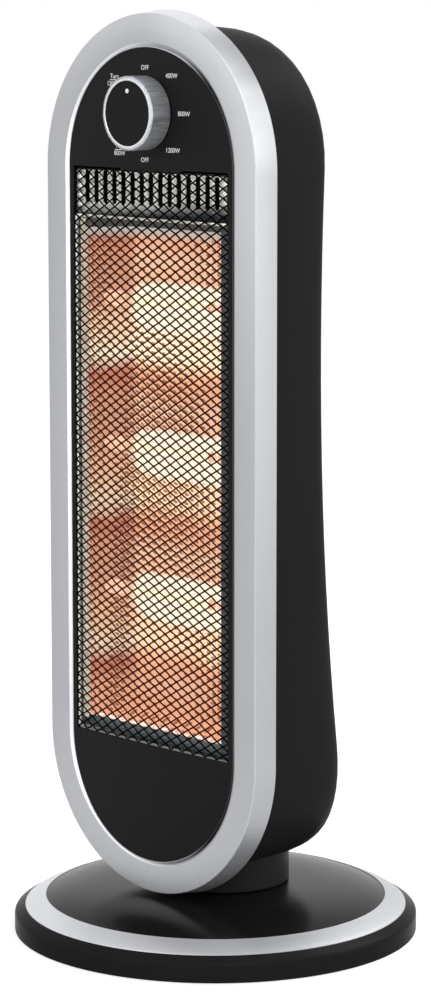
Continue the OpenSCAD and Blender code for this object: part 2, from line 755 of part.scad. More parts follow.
module drive_pinion() {
    color([0.9, 0.89, 0.85]) at_motor() difference() {
        translate([0, 0, pinion_z]) linear_extrude(height = shaft_top_z - pinion_z)
            gear_outline(pinion_teeth, 270 + 180 / pinion_teeth);
        difference() {
            cylinder(r = shaft_r + face_gap, h = base_h);
            translate([shaft_r - 0.6 + face_gap, -5, 0]) cube([5, 10, base_h]);
        }
    }
}

module motor_shaft() {
    color([0.7, 0.7, 0.72]) at_motor() difference() {
        translate([0, 0, motor_top_z - motor_h + 5]) cylinder(r = shaft_r, h = shaft_top_z - motor_top_z + motor_h - 5);
        translate([shaft_r - 0.6, -5, pinion_z - 0.2]) cube([5, 10, base_h]);
    }
}

// ---------------------------------------------------------------- neck

module neck_screw_places() { at_swivel() ring_of(neck_screw_n, neck_screw_ring_r, 45) children(); }

module neck() {
    color([0.09, 0.09, 0.095]) difference() {
        union() {
            at_swivel() rotate_extrude($fn = 96) polygon([
                [tube_bore_r, gear_z], [spigot_r, gear_z], [spigot_r, gear_top_z], [tube_r, gear_top_z],
                [tube_r, neck_z], [neck_r - 0.5, neck_z], [neck_r, neck_z + 0.5], [neck_r, neck_top_z],
                [neck_r - neck_wall, neck_top_z], [neck_r - neck_wall, neck_z + neck_floor],
                [tube_bore_r, neck_z + neck_floor]]);
            neck_screw_places() translate([0, 0, neck_z + 1])
                cylinder(r = neck_post_r, h = neck_top_z - neck_z - 1.3);
        }
        neck_screw_places() {
            cylinder(r = screw_r + 0.2, h = 100, $fn = 24);
            translate([0, 0, neck_z - 1]) cylinder(r = screw_head_r + 0.3, h = 1 + screw_head_h + 0.4);
        }
        at_swivel() {
            keys(face_gap);
            for (a = [90, 210, 330]) rotate([0, 0, a]) translate([retainer_screw_ring_r, 0, gear_z - 1])
                cylinder(r = small_screw_r + face_gap, h = 8, $fn = 24);
        }
    }
}

module neck_screws() {
    color([0.6, 0.6, 0.62]) neck_screw_places() translate([0, 0, neck_z + screw_head_h + 0.4])
        rotate([180, 0, 0]) screw(screw_r, screw_head_r, screw_head_h,
                                  neck_screw_top_z - neck_z - screw_head_h - 0.4);
}

module gear_retainer() {
    color([0.7, 0.7, 0.72]) at_swivel() difference() {
        tube(retainer_r, tube_bore_r, gear_z - retainer_t, gear_z);
        for (a = [90, 210, 330]) rotate([0, 0, a]) translate([retainer_screw_ring_r, 0, 0])
            cylinder(r = small_screw_r + 0.2, h = base_h, $fn = 24);
    }
}

module retainer_screws() {
    color([0.6, 0.6, 0.62]) at_swivel() for (a = [90, 210, 330]) rotate([0, 0, a])
        translate([retainer_screw_ring_r, 0, gear_z - retainer_t]) rotate([180, 0, 0])
            screw(small_screw_r, small_head_r, small_head_h, retainer_t + 5);
}

// ---------------------------------------------------------------- rear housing

// Depth of the housing's back behind the ring at a height
function back_depth(z) =
    waist_depth
    + swell_low * pow(max(0, waist_z - z) / (waist_z - arch_low_z), 2)
    + swell_high * pow(max(0, z - waist_z) / (arch_high_z - waist_z), 2)
    + swell_heel * pow(max(0, arch_low_z - z) / housing_r, 2);

arc_n = 24;      // facets of each arch
side_n = 14;     // facets of each straight side
round_n = 9;     // facets across the shoulder
loop_n = 2 * (arc_n + side_n);

// Outline points [x, z] of the head at a radius, anticlockwise seen from the front
function loop_points(r) = concat(
    [for (i = [0:arc_n]) let (a = 180 * i / arc_n) [r * cos(a), arch_high_z + r * sin(a)]],
    [for (i = [1:side_n - 1]) [-r, arch_high_z - (arch_high_z - arch_low_z) * i / side_n]],
    [for (i = [0:arc_n]) let (a = 180 + 180 * i / arc_n) [r * cos(a), arch_low_z + r * sin(a)]],
    [for (i = [1:side_n - 1]) [r, arch_low_z + (arch_high_z - arch_low_z) * i / side_n]]);

// Inset and share of the depth of each ring of points: a superellipse round the
// shoulder, then flat across the back
function shoulder_rings(r, w) = concat(
    [for (k = [0:round_n]) let (t = 90 * k / round_n)
        [w * (1 - pow(cos(t), 2 / shoulder_n)), pow(sin(t), 2 / shoulder_n)]],
    [[(w + r) / 2, 1], [r - 8, 1]]);

// Points of one skin of the housing, with a radius, shoulder and lowered depth
function skin_points(r, w, inset) = [
    for (ring = shoulder_rings(r, w), p = loop_points(r - ring[0]))
        [p[0], housing_y + (back_depth(p[1]) + ring_back_y - housing_y - inset) * ring[1], p[1]]];

function mirrored(i) = (arc_n - i + loop_n) % loop_n;

// Faces of one skin: bands between rings, then strips across the last ring
function skin_faces(rings, first) =
    let (last = first + (rings - 1) * loop_n, apex = arc_n / 2)
    concat(
        [for (k = [0:rings - 2], i = [0:loop_n - 1])
            let (j = (i + 1) % loop_n, a = first + k * loop_n, b = a + loop_n)
            each [[a + i, a + j, b + j], [a + i, b + j, b + i]]],
        [for (i = [apex:apex + loop_n / 2 - 1])
            let (a = i % loop_n, b = (i + 1) % loop_n)
            each concat(a == mirrored(a) || b == mirrored(b) ? []
                            : [[last + a, last + mirrored(b), last + mirrored(a)]],
                        b == mirrored(b) ? [[last + a, last + b, last + mirrored(a)]]
                                         : [[last + a, last + b, last + mirrored(b)]])]);

function flipped(faces) = [for (f = faces) [f[2], f[1], f[0]]];

module housing_skins() {
    inner_r = housing_r - housing_wall;
    outer = skin_points(housing_r, shoulder_w, 0);
    inner = skin_points(inner_r, shoulder_w - housing_wall, housing_wall);
    rings = round_n + 3;
    n = len(outer);
    polyhedron(
        points = concat(outer, inner),
        faces = concat(
            skin_faces(rings, 0),
            flipped(skin_faces(rings, n)),
            [for (i = [0:loop_n - 1]) let (j = (i + 1) % loop_n)
                each [[i, n + i, n + j], [i, n + j, j]]]),
        convexity = 6);
}

// Rows of vent slots: the first row's height, the number of rows
vent_pitch = 2.4 * vent_h;
vent_rows = [[arch_high_z - 68, 12], [arch_low_z + 8, 8]];

module housing_screw_places() {
    for (z = [arch_low_z, arch_high_z], a = [30, 90, 150])
        translate([0, 0, z]) rotate([0, z == arch_high_z ? -a : a, 0])
            translate([cover_screw_r, 0, 0]) children();
    for (x = [-1, 1]) translate([x * cover_screw_r, 0, (arch_low_z + arch_high_z) / 2]) children();
}

module rear_housing() {
    color([0.09, 0.09, 0.095]) difference() {
        union() {
            housing_skins();
            // lip that closes the space behind the silver ring
            upright(lip_y, ring_back_y) difference() {
                stadium(lip_r);
                stadium(housing_r - housing_wall / 2);
            }
            // plate that seats on the neck, with a boss over each screw
            at_swivel() translate([0, 0, neck_top_z]) cylinder(r = neck_r + 1.5, h = 3, $fn = 64);
            neck_screw_places() translate([0, 0, neck_top_z + 1])
                cylinder(r = neck_post_r, h = neck_screw_top_z - neck_top_z + 0.6);
        }
        at_swivel() {
            translate([0, 0, neck_z]) cylinder(r = neck_r + fit_gap, h = neck_top_z - neck_z, $fn = 96);
            cylinder(r = tube_bore_r, h = 100);
        }
        neck_screw_places() translate([0, 0, neck_top_z - 10])
            cylinder(r = screw_r + face_gap, h = neck_screw_top_z - neck_top_z + 10.3, $fn = 24);
        housing_screw_places() rotate([90, 0, 0]) cylinder(r = screw_r + 0.2, h = 200, center = true, $fn = 24);
        for (group = vent_rows, row = [0:group[1] - 1], x = [-1, 1])
            translate([x * (vent_len / 2 + 4), 100, group[0] + row * vent_pitch])
                rotate([90, 0, 0]) linear_extrude(height = 100) slot(vent_len, vent_h);
    }
}

module housing_screws() {
    color([0.6, 0.6, 0.62]) housing_screw_places() translate([0, ring_back_y, 0]) rotate([-90, 0, 0])
        screw(screw_r, screw_head_r, screw_head_h, lip_t + 7);
}

// ---------------------------------------------------------------- front

module front_cover() {
    skirt_in = cover_front_r - cover_skirt;
    color([0.1, 0.1, 0.105]) difference() {
        union() {
            bowed(0, panel_t) stadium(panel_r);
            upright(ledge_y, ledge_back_y) difference() {
                stadium(cover_front_r - 0.5);
                stadium(ledge_in_r);
            }
            around_head() polygon([
                [skirt_in - 1, ledge_y], [cover_front_r, ledge_y], [lip_r, lip_y],
                [lip_r - cover_skirt, lip_y], [skirt_in, ledge_back_y], [skirt_in - 1, ledge_back_y]]);
            housing_screw_places() translate([0, lip_y, 0]) rotate([90, 0, 0])
                cylinder(r = cover_boss_r, h = lip_y - ledge_back_y + 0.5, $fn = 24);
        }
        housing_screw_places() translate([0, lip_y + 1, 0]) rotate([90, 0, 0])
            cylinder(r = screw_r + face_gap, h = 9, $fn = 24);
        upright(panel_mid_y - 1, panel_back_y + 5) round_rect(window_w / 2, window_z, window_top_z, 2);
        translate([0, panel_mid_y - 1, knob_z]) rotate([-90, 0, 0]) cylinder(r = bushing_r + fit_gap, h = 10);
        for (x = [-1, 1], z = frame_screw_z) translate([x * frame_screw_x, ledge_back_y + 1, z])
            rotate([90, 0, 0]) cylinder(r = small_screw_r + face_gap, h = 2.4, $fn = 24);
    }
}

module front_ring() {
    corner = 1;
    color([0.78, 0.79, 0.81]) around_head() polygon(concat(
        [[ring_in_r, panel_y], [ring_in_r + bevel_w, front_y]],
        [for (a = [90:-30:0]) [ring_front_r - corner + corner * cos(a), front_y + corner - corner * sin(a)]],
        [[ring_rear_r, ring_back_y], [ring_rear_r - ring_skin, ring_back_y],
         [cover_front_r + 0.15, ledge_y - face_gap], [ring_in_r, ledge_y - face_gap]]));
}

// Diamonds of the guard, as one flat pattern of holes
module mesh_pattern() {
    w = 2 * open_half_w / mesh_cols;
    h = (open_top_z - open_z) / mesh_rows;
    slope = atan2(h, w);
    half_w = w / 2 - strand_w / 2 / sin(slope);
    half_h = h / 2 - strand_w / 2 / cos(slope);
    difference() {
        translate([-open_half_w - 0.3, open_z - 0.3])
            square([2 * open_half_w + 0.6, open_top_z - open_z + 0.6]);
        intersection() {
            translate([-open_half_w, open_z]) square([2 * open_half_w, open_top_z - open_z]);
            for (i = [0:2 * mesh_cols], j = [0:2 * mesh_rows]) if ((i + j) % 2 == 0)
                translate([-open_half_w + i * w / 2, open_z + j * h / 2])
                    polygon([[-half_w, 0], [0, -half_h], [half_w, 0], [0, half_h]]);
        }
    }
}

module mesh_guard() {
    color([0.04, 0.04, 0.045]) union() {
        bowed(guard_sink, guard_sink + guard_t) mesh_pattern();
        bowed(guard_sink, panel_t + guard_t) difference() {
            round_rect(rim_half_w, window_z + 0.2, window_top_z - 0.2, 1.8);
            translate([-open_half_w, open_z]) square([2 * open_half_w, open_top_z - open_z]);
        }
        bowed(panel_t, panel_t + guard_t) difference() {
            translate([-rim_half_w - guard_flange, window_z - guard_flange])
                square([2 * (rim_half_w + guard_flange), window_h + 2 * guard_flange]);
            translate([-open_half_w, open_z]) square([2 * open_half_w, open_top_z - open_z]);
        }
    }
}

// ---------------------------------------------------------------- reflector and lamps

// Plan and side outlines of the trough's hollow, grown by the sheet's thickness
module trough_plan(t) {
    offset(delta = t) polygon([
        [-open_half_w, guard_back_y], [-trough_w1, trough_y1], [-trough_w2, trough_y2],
        [trough_w2, trough_y2], [trough_w1, trough_y1], [open_half_w, guard_back_y]]);
}
module trough_side(t, top) {
    offset(delta = t) polygon([
        [guard_back_y, open_z], [trough_y1, trough_z1], [trough_y2, trough_z2],
        [trough_y2, top], [guard_back_y, top]]);
}
module trough_solid(t, top) {
    intersection() {
        linear_extrude(height = 600) trough_plan(t);
        rotate([90, 0, 90]) translate([0, 0, -150]) linear_extrude(height = 300) trough_side(t, top);
        translate([-150, guard_back_y, 0]) cube([300, 100, trough_top_z]);
    }
}

module lamp_places() { for (z = lamp_z) translate([0, lamp_y, z]) children(); }

module reflector() {
    flange_w = open_half_w + reflector_flange;
    color([0.86, 0.85, 0.83]) difference() {
        union() {
            difference() {
                trough_solid(sheet_t, trough_top_z + 5);
                trough_solid(0, trough_top_z + 5);
            }
            upright(guard_back_y, guard_back_y + sheet_t) difference() {
                translate([-flange_w, window_z - 4]) square([2 * flange_w, trough_top_z - window_z + 4]);
                translate([-open_half_w, open_z]) square([2 * open_half_w, 600]);
            }
        }
        lamp_places() rotate([0, 90, 0]) cylinder(r = lamp_r + 1.5, h = 200, center = true);
        for (x = [-1, 1], z = frame_screw_z) translate([x * frame_screw_x, guard_back_y + 5, z])
            rotate([90, 0, 0]) cylinder(r = small_screw_r + 0.2, h = 10, $fn = 24);
    }
}

// Bent sheet over the trough: slotted front, round lower bend, shelf and hanging tab
bend_r = 6;
vent_plate_y = guard_y + guard_t + 0.4;
vent_tab_w = 60;
module vent_plate() {
    half_w = open_half_w - 0.2;
    top = open_top_z - 0.2;
    t = 0.6;
    slot_margin = 0.8;                    // plate above the slots
    slot_len = vent_plate_h - bend_r - 6.6;
    y1 = vent_plate_y + bend_r;
    tab_y = bow_y(vent_tab_w / 2) + panel_t + guard_t + face_gap;
    color([0.86, 0.85, 0.83]) difference() {
        union() {
            translate([-half_w, vent_plate_y, trough_top_z + bend_r])
                cube([2 * half_w, t, top - trough_top_z - bend_r]);
            translate([0, y1, trough_top_z + bend_r]) rotate([0, 90, 0]) rotate([0, 0, -90])
                translate([0, 0, -half_w]) rotate_extrude(angle = 90, $fn = 64)
                    translate([bend_r - t, 0]) square([t, 2 * half_w]);
            translate([0, 0, trough_top_z]) linear_extrude(height = t) intersection() {
                trough_plan(sheet_t);
                translate([-half_w, y1 - 0.01]) square([2 * half_w, 100]);
            }
            // top edge bent back, and a tab that hooks up behind the guard's flange
            translate([-half_w, vent_plate_y, top - t]) cube([2 * half_w, guard_back_y - vent_plate_y + t, t]);
            translate([-vent_tab_w / 2, tab_y, top - t]) {
                cube([vent_tab_w, vent_plate_y - tab_y + t, t]);
                cube([vent_tab_w, t, guard_flange + 4]);
            }
        }
        for (i = [0:slot_n - 1])
            translate([(i - (slot_n - 1) / 2) * 2 * open_half_w / (slot_n + 1.4), vent_plate_y + 5,
                       top - slot_margin - slot_len / 2])
                rotate([90, 90, 0]) linear_extrude(height = 10) slot(slot_len, slot_w);
    }
}

module reflector_screws() {
    color([0.6, 0.6, 0.62]) for (x = [-1, 1], z = frame_screw_z)
        translate([x * frame_screw_x, guard_back_y + sheet_t + bracket_t, z]) rotate([-90, 0, 0])
            screw(small_screw_r, small_head_r, small_head_h, sheet_t + bracket_t + 1.4);
}

module lamp_brackets() {
    y0 = guard_back_y + sheet_t;
    color([0.66, 0.66, 0.64]) for (x = [0, 1]) mirror([x, 0, 0]) difference() {
        union() {
            translate([bracket_x, y0, bracket_z0]) cube([bracket_t, lamp_y - y0 + cap_r + 2, bracket_z1 - bracket_z0]);
            translate([bracket_x, y0, bracket_z0]) cube([9, bracket_t, bracket_z1 - bracket_z0]);
        }
        lamp_places() rotate([0, 90, 0]) cylinder(r = cap_r + face_gap, h = 200);
        for (z = frame_screw_z) translate([frame_screw_x, y0 + 5, z])
            rotate([90, 0, 0]) cylinder(r = small_screw_r + 0.2, h = 10, $fn = 24);
    }
}

module lamp_caps() {
    color([0.93, 0.92, 0.88]) lamp_places() for (x = [0, 1]) mirror([x, 0, 0]) rotate([0, 90, 0])
        rotate_extrude() polygon([
            [0, cap_x0 + cap_bore], [lamp_r + face_gap, cap_x0 + cap_bore], [lamp_r + face_gap, cap_x0],
            [cap_r, cap_x0], [cap_r, bracket_x + bracket_t], [cap_r + 1.5, bracket_x + bracket_t],
            [cap_r + 1.5, bracket_x + bracket_t + 2], [cap_r, bracket_x + bracket_t + 2],
            [cap_r, cap_x1 - 1], [cap_r - 1, cap_x1], [0, cap_x1]]);
}

module quartz_tubes() {
    color([0.95, 0.9, 0.8, 0.4]) lamp_places() rotate([0, 90, 0]) difference() {
        cylinder(r = lamp_r, h = 2 * lamp_half, center = true);
        cylinder(r = lamp_r - lamp_wall, h = 2 * lamp_half + 2, center = true);
    }
}

// Tungsten coil, drawn as a rod with its support rings, on two thin leads
coil_r = 0.9;
coil_half = cap_x0 - 7;
support_pitch = coil_half / 3.02;
module filaments() {
    color([1, 0.75, 0.4]) lamp_places() rotate([0, 90, 0]) {
        cylinder(r = coil_r, h = 2 * coil_half, center = true);
        cylinder(r = 0.5, h = 2 * (cap_x0 + cap_bore) - 0.1, center = true, $fn = 24);
        for (i = [-3:3]) translate([0, 0, i * support_pitch])
            cylinder(r = lamp_r - lamp_wall - 0.1, h = 0.5, center = true);
    }
}

module heat_shield() {
    lead_hole_z = (shield_z0 + shield_z1) / 2;
    color([0.72, 0.73, 0.74]) difference() {
        union() {
            translate([-shield_half_w, shield_y, shield_z0])
                cube([2 * shield_half_w, sheet_t, shield_z1 - shield_z0]);
            // side edges bent forward
            for (x = [-shield_half_w, shield_half_w - sheet_t]) translate([x, shield_y - 6, shield_z0])
                cube([sheet_t, 6.5, shield_z1 - shield_z0]);
            // tabs that reach the back of the trough
            for (x = [-1, 1], z = shield_tab_z) translate([x * (trough_w2 - 12) - 5, trough_y2 + sheet_t, z]) {
                cube([10, sheet_t, 8]);
                translate([0, 0, 8 - sheet_t]) cube([10, shield_y - trough_y2 - sheet_t + 0.2, sheet_t]);
            }
        }
        for (x = [-1, 1]) translate([x * 20, shield_y + 5, lead_hole_z]) rotate([90, 0, 0])
            cylinder(r = 6, h = 10);
    }
}

module thermal_cutout() {
    color([0.2, 0.16, 0.13]) translate([0, shield_y + sheet_t, shield_z1 - 24]) {
        rotate([-90, 0, 0]) cylinder(r = 8, h = 6.5);
        for (x = [-1, 1]) translate([x * 4 - 2.4, 6, -0.4]) cube([4.8, 8, 0.8]);
        translate([0, 0.8, 0]) rotate([90, 0, 0]) linear_extrude(height = 0.8) slot(32, 9);
    }
}

// ---------------------------------------------------------------- switch and knob

module at_knob() { translate([0, 0, knob_z]) rotate([-90, 0, 0]) children(); }

// The switch's flat front meets the bowed panel at its two sides
switch_y = bow_y(switch_w / 2) + panel_t + face_gap / 2;
module rotary_switch() {
    color([0.12, 0.12, 0.13]) difference() {
        union() {
            translate([-switch_w / 2, switch_y, knob_z - switch_w / 2]) cube([switch_w, switch_depth, switch_w]);
            at_knob() translate([0, 0, bushing_y]) cylinder(r = bushing_r, h = switch_y - bushing_y + 1);
            for (x = [-10, 0, 10], z = [-9, 9]) translate([x - 2.4, switch_y + switch_depth - 1, knob_z + z - 0.4])
                cube([4.8, 9, 0.8]);
        }
        at_knob() translate([0, 0, bushing_y - 1]) cylinder(r = shaft_r + run_gap, h = switch_y - bushing_y + 12);
    }
}

module switch_nut() {
    color([0.7, 0.7, 0.72]) at_knob() translate([0, 0, panel_mid_y - nut_t]) difference() {
        cylinder(r = nut_af / 2 / cos(30), h = nut_t, $fn = 6);
        translate([0, 0, -1]) cylinder(r = bushing_r + face_gap, h = 10);
    }
}

module switch_shaft() {
    color([0.7, 0.7, 0.72]) at_knob() difference() {
        translate([0, 0, shaft_front_y]) cylinder(r = shaft_r, h = switch_y + 9 - shaft_front_y);
        translate([shaft_r - 0.8, -5, shaft_front_y - 1]) cube([5, 10, bushing_y - shaft_front_y + 1]);
    }
}

module knob_skirt() {
    ridge = 0.45;
    color([0.78, 0.79, 0.81]) at_knob() difference() {
        intersection() {
            translate([0, 0, knob_front_y]) linear_extrude(height = knob_depth)
                polygon([for (i = [0:2 * knurl_n - 1]) let (a = 180 * i / knurl_n, r = knob_r - (i % 2) * ridge)
                    [r * cos(a), r * sin(a)]]);
            // plain rounded rims in front and behind the knurling
            rotate_extrude($fn = 96) polygon(concat(
                [for (a = [90:-22.5:0]) [knob_r - 2 + 2.2 * cos(a), knob_front_y + 1.6 - 1.6 * sin(a)]],
                [[knob_r + 0.2, knob_back_y], [0, knob_back_y], [0, knob_front_y]]));
        }
        translate([0, 0, knob_front_y - 1]) cylinder(r = knob_face_r + face_gap, h = knob_sink + knob_face_t + 1, $fn = 96);
        translate([0, 0, knob_front_y + knob_sink + knob_face_t + 1]) cylinder(r = knob_r - knob_wall, h = 50, $fn = 96);
        translate([0, 0, knob_front_y]) cylinder(r = knob_face_r - 2, h = 50, $fn = 96);
    }
}

module knob_face() {
    face_y = knob_front_y + knob_sink;
    hub_r = 6;
    color([0.07, 0.07, 0.075]) at_knob() difference() {
        union() {
            translate([0, 0, face_y]) cylinder(r = knob_face_r, h = knob_face_t, $fn = 96);
            translate([0, 0, face_y]) cylinder(r = hub_r, h = bushing_y - 0.5 - face_y);
            for (a = [0:60:179]) rotate([0, 0, a]) translate([-knob_face_r + 3, -0.8, face_y + 1])
                cube([2 * (knob_face_r - 3), 1.6, 7]);
        }
        difference() {
            translate([0, 0, shaft_front_y - 0.2]) cylinder(r = shaft_r + face_gap, h = 50);
            translate([shaft_r - 0.8 + face_gap, -5, 0]) mirror([0, 0, 1]) cube([5, 10, 100]);
        }
        translate([0, -pointer_up, face_y - 1]) cylinder(r = pointer_r + face_gap, h = 1.8);
    }
}

module knob_pointer() {
    color("white") at_knob() translate([0, -pointer_up, knob_front_y + knob_sink - 0.15])
        cylinder(r = pointer_r, h = 0.9);
}

// ---------------------------------------------------------------- pieces

base_shell();
base_trim_ring();
bottom_cover();
rubber_feet();
base_screws();
counterweight();
weight_screws();
swing_motor();
motor_screws();
swivel_washer();
cord_grommet();
cord_clamp();
clamp_screws();
terminal_block();
tip_bracket();
tip_switch();
tip_screws();
tip_spring();
tip_plunger();
motor_shaft();
drive_pinion();
neck();
neck_screws();
swing_gear();
gear_retainer();
retainer_screws();
rear_housing();
housing_screws();
front_cover();
front_ring();
mesh_guard();
reflector();
vent_plate();
reflector_screws();
heat_shield();
lamp_brackets();
lamp_caps();
quartz_tubes();
filaments();
thermal_cutout();
rotary_switch();
switch_nut();
switch_shaft();
knob_skirt();
knob_face();
knob_pointer();
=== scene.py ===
"""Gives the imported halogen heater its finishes, fine pieces, stage and camera.

Lengths in the piece-making code are millimetres, as in the part's source, and MM turns
them into Blender's metres. The front of the heater faces -Y.
"""

import json
import math

import bmesh
import bpy
from mathutils import Matrix, Vector

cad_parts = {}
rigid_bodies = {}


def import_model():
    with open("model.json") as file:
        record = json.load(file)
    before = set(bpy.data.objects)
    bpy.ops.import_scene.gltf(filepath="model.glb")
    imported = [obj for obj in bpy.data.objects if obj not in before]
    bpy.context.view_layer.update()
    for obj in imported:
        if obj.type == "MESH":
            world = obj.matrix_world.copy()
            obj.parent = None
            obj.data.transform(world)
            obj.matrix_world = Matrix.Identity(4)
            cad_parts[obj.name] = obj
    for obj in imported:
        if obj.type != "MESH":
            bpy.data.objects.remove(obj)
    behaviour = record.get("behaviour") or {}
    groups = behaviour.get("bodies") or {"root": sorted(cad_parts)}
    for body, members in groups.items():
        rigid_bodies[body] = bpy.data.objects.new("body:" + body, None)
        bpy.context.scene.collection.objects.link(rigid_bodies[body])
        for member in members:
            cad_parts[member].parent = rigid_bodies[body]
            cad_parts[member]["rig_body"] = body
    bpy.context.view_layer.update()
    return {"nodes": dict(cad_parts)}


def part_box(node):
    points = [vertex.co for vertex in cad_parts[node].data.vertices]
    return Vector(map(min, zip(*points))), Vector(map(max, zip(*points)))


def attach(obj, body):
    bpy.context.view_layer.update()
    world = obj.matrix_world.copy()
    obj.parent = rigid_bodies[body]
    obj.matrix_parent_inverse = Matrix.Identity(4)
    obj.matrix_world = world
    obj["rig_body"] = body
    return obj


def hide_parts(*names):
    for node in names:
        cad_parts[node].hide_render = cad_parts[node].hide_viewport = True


bl_info = {
    "name": "Halogen heater",
    "version": (1, 0, 0),
    "blender": (4, 5, 0),
    "location": "View3D > Sidebar > Heater",
    "description": "Builds the finishes and fine pieces of a swinging halogen heater",
    "category": "Object",
}

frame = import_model()
CAD = frame["nodes"]
MM = 0.001

# Sizes that this file shares with the part's source
BASE_R, BASE_H, BASE_FALL, CROWN_POWER = 140.0, 33.0, 20.0, 4.5
TRIM_IN_R, TRIM_W = 118.0, 14.5
ARCH_LOW_Z, ARCH_HIGH_Z = 138.0, 528.0
RING_IN_R, RING_FRONT_R, RING_REAR_R = 80.0, 102.3, 104.5
FRONT_Y, PANEL_Y, RING_BACK_Y = -61.5, -60.3, -44.0
PANEL_BOW = 2.6
TROUGH_HALF_W, TROUGH_BACK_Y, TROUGH_TOP_Z = 50.0, -30.0, 493.0
WING_SLOPE = 16.0 / 23.5         # how far a wing spreads on its way forward
KNOB_Z = 565.0
LAMP_Y, LAMP_Z = -42.0, (238.0, 338.0, 438.0)
LAMP_PITCH = LAMP_Z[1] - LAMP_Z[0]

# Points round each arch of the head, and along each straight side
ARC_STEPS, SIDE_STEPS = 96, 24

# The fine mesh of the guard, whose painted reflection the reflector also carries
MESH_HALF_W, MESH_LOW_Z, MESH_HIGH_Z = 76.1, 138.9, 527.1

# The camera, in metres
CAMERA_AT, CAMERA_RIGHT, CAMERA_AHEAD = (1.5771, -1.4960, 0.6325), (0.69, 0.7238, 0.0), (-0.7155, 0.6821, -0.15114)
LENS_MM, LENS_SHIFT = 115.52, -0.0078


def bow_y(x):
    """Front of the bowed black panel, at a distance from the middle of the head."""
    return PANEL_Y - PANEL_BOW * max(0.0, 1.0 - (x / RING_IN_R) ** 2)


# ---------- node trees

class Value:
    """A node's output that can be used in sums: each operator adds a Math node."""

    def __init__(self, nodes, socket):
        self.nodes = nodes
        self.socket = socket

    def maths(self, operation, *terms):
        return self.nodes.node("ShaderNodeMath", {"operation": operation}, dict(enumerate(terms)))

    def __add__(self, other): return self.maths("ADD", self, other)
    def __radd__(self, other): return self.maths("ADD", other, self)
    def __sub__(self, other): return self.maths("SUBTRACT", self, other)
    def __rsub__(self, other): return self.maths("SUBTRACT", other, self)
    def __mul__(self, other): return self.maths("MULTIPLY", self, other)
    def __rmul__(self, other): return self.maths("MULTIPLY", other, self)
    def __truediv__(self, other): return self.maths("DIVIDE", self, other)
    def __pow__(self, other): return self.maths("POWER", self, other)
    def __abs__(self): return self.maths("ABSOLUTE", self)
    def __neg__(self): return 0.0 - self

    def fraction(self):
        return self.maths("FRACT", self)

    def sign(self):
        return self.maths("SIGN", self)

    def at_least(self, least):
        return self.maths("MAXIMUM", self, least)

    def between(self, low, high):
        """0 below low and 1 above high, with a soft step from one to the other."""
        return self.nodes.node("ShaderNodeMapRange", {"interpolation_type": "SMOOTHSTEP"}, {0: self, 1: low, 2: high})

    def also(self, output):
        """Another output of the same node."""
        return Value(self.nodes, self.socket.node.outputs[output])


class Nodes:
    """A node tree that is built up node by node."""

    def __init__(self, tree):
        self.tree = tree

    def feed(self, socket, value):
        """Links a value to a socket, or sets the socket to a constant."""
        if isinstance(value, Value):
            self.tree.links.new(value.socket, socket)
        elif socket.type == "RGBA":
            socket.default_value = (*value, 1.0)
        else:
            socket.default_value = value

    def node(self, kind, settings=None, inputs=None, output=0):
        """Adds a node, sets its settings and then its sockets, and returns an output."""
        made = self.tree.nodes.new(kind)
        for name, value in (settings or {}).items():
            if name == "stops":
                ramp = made.color_ramp
                while len(ramp.elements) < len(value):
                    ramp.elements.new(1.0)
                for stop, (place, colour) in zip(ramp.elements, value):
                    stop.position = place
                    stop.color = (*colour, 1.0)
            else:
                setattr(made, name, value)
        for name, value in (inputs or {}).items():
            self.feed(made.inputs[name], value)
        return Value(self, made.outputs[output])

    def axes(self, point=None):
        """X, Y and Z of a point, or of the place on the piece."""
        x = self.node("ShaderNodeSeparateXYZ", inputs={0: point or self.place})
        return x, x.also("Y"), x.also("Z")


class Paint(Nodes):
    """A material, and the nodes that work out its surface from the place on the piece, in metres."""

    def __init__(self, name, colour, **fixed):
        self.material = bpy.data.materials.new(name)
        self.material.use_nodes = True
        super().__init__(self.material.node_tree)
        self.shader = next(n for n in self.tree.nodes if n.type == "BSDF_PRINCIPLED")
        self.place = self.node("ShaderNodeTexCoord", output="Object")
        self.fill(Base_Color=colour, **fixed)

    def fill(self, relief=None, **sockets):
        """Sets sockets by name, with _ for a space, and the relief: its height, strength and depth in mm."""
        if relief:
            height, strength, depth = relief
            sockets["Normal"] = self.node("ShaderNodeBump", inputs={
                "Strength": strength, "Distance": depth * MM, "Height": height})
        for socket, value in sockets.items():
            self.feed(self.shader.inputs[socket.replace("_", " ")], value)
        return self

    def noise(self, scale, detail=3.0, rough=0.5, stretch=None):
        place = self.place
        if stretch:
            place = self.node("ShaderNodeMapping", inputs={"Vector": place, "Scale": stretch})
        return self.node("ShaderNodeTexNoise", inputs={
            "Vector": place, "Scale": scale, "Detail": detail, "Roughness": rough})

    def mix(self, share, first, second, blend="MIX"):
        """Goes from the first colour to the second. 6, 7 and 2 are the node's colour sockets."""
        settings = {"data_type": "RGBA", "blend_type": blend}
        return self.node("ShaderNodeMix", settings, {0: share, 6: first, 7: second}, output=2)

    def product(self, first, second):
        return self.mix(1.0, first, second, "MULTIPLY")

    def vary(self, share, colour, low, high):
        """A colour that goes from low to high times its level."""
        return self.mix(share, shade(colour, low), shade(colour, high))

    def ramp(self, value, stops):
        return self.node("ShaderNodeValToRGB", {"stops": stops}, {0: value})

    def tone(self, colour):
        """Multiplies the base colour that is set already."""
        before = Value(self, self.shader.inputs["Base Color"].links[0].from_socket)
        return self.fill(Base_Color=self.product(before, colour))


def shade(colour, factor):
    return tuple(min(1.0, c * factor) for c in colour)


def grey(level):
    return (level, level, level)


def greys(*stops):
    """Ramp stops from pairs of a place and a grey level."""
    return [(place, grey(level)) for place, level in stops]


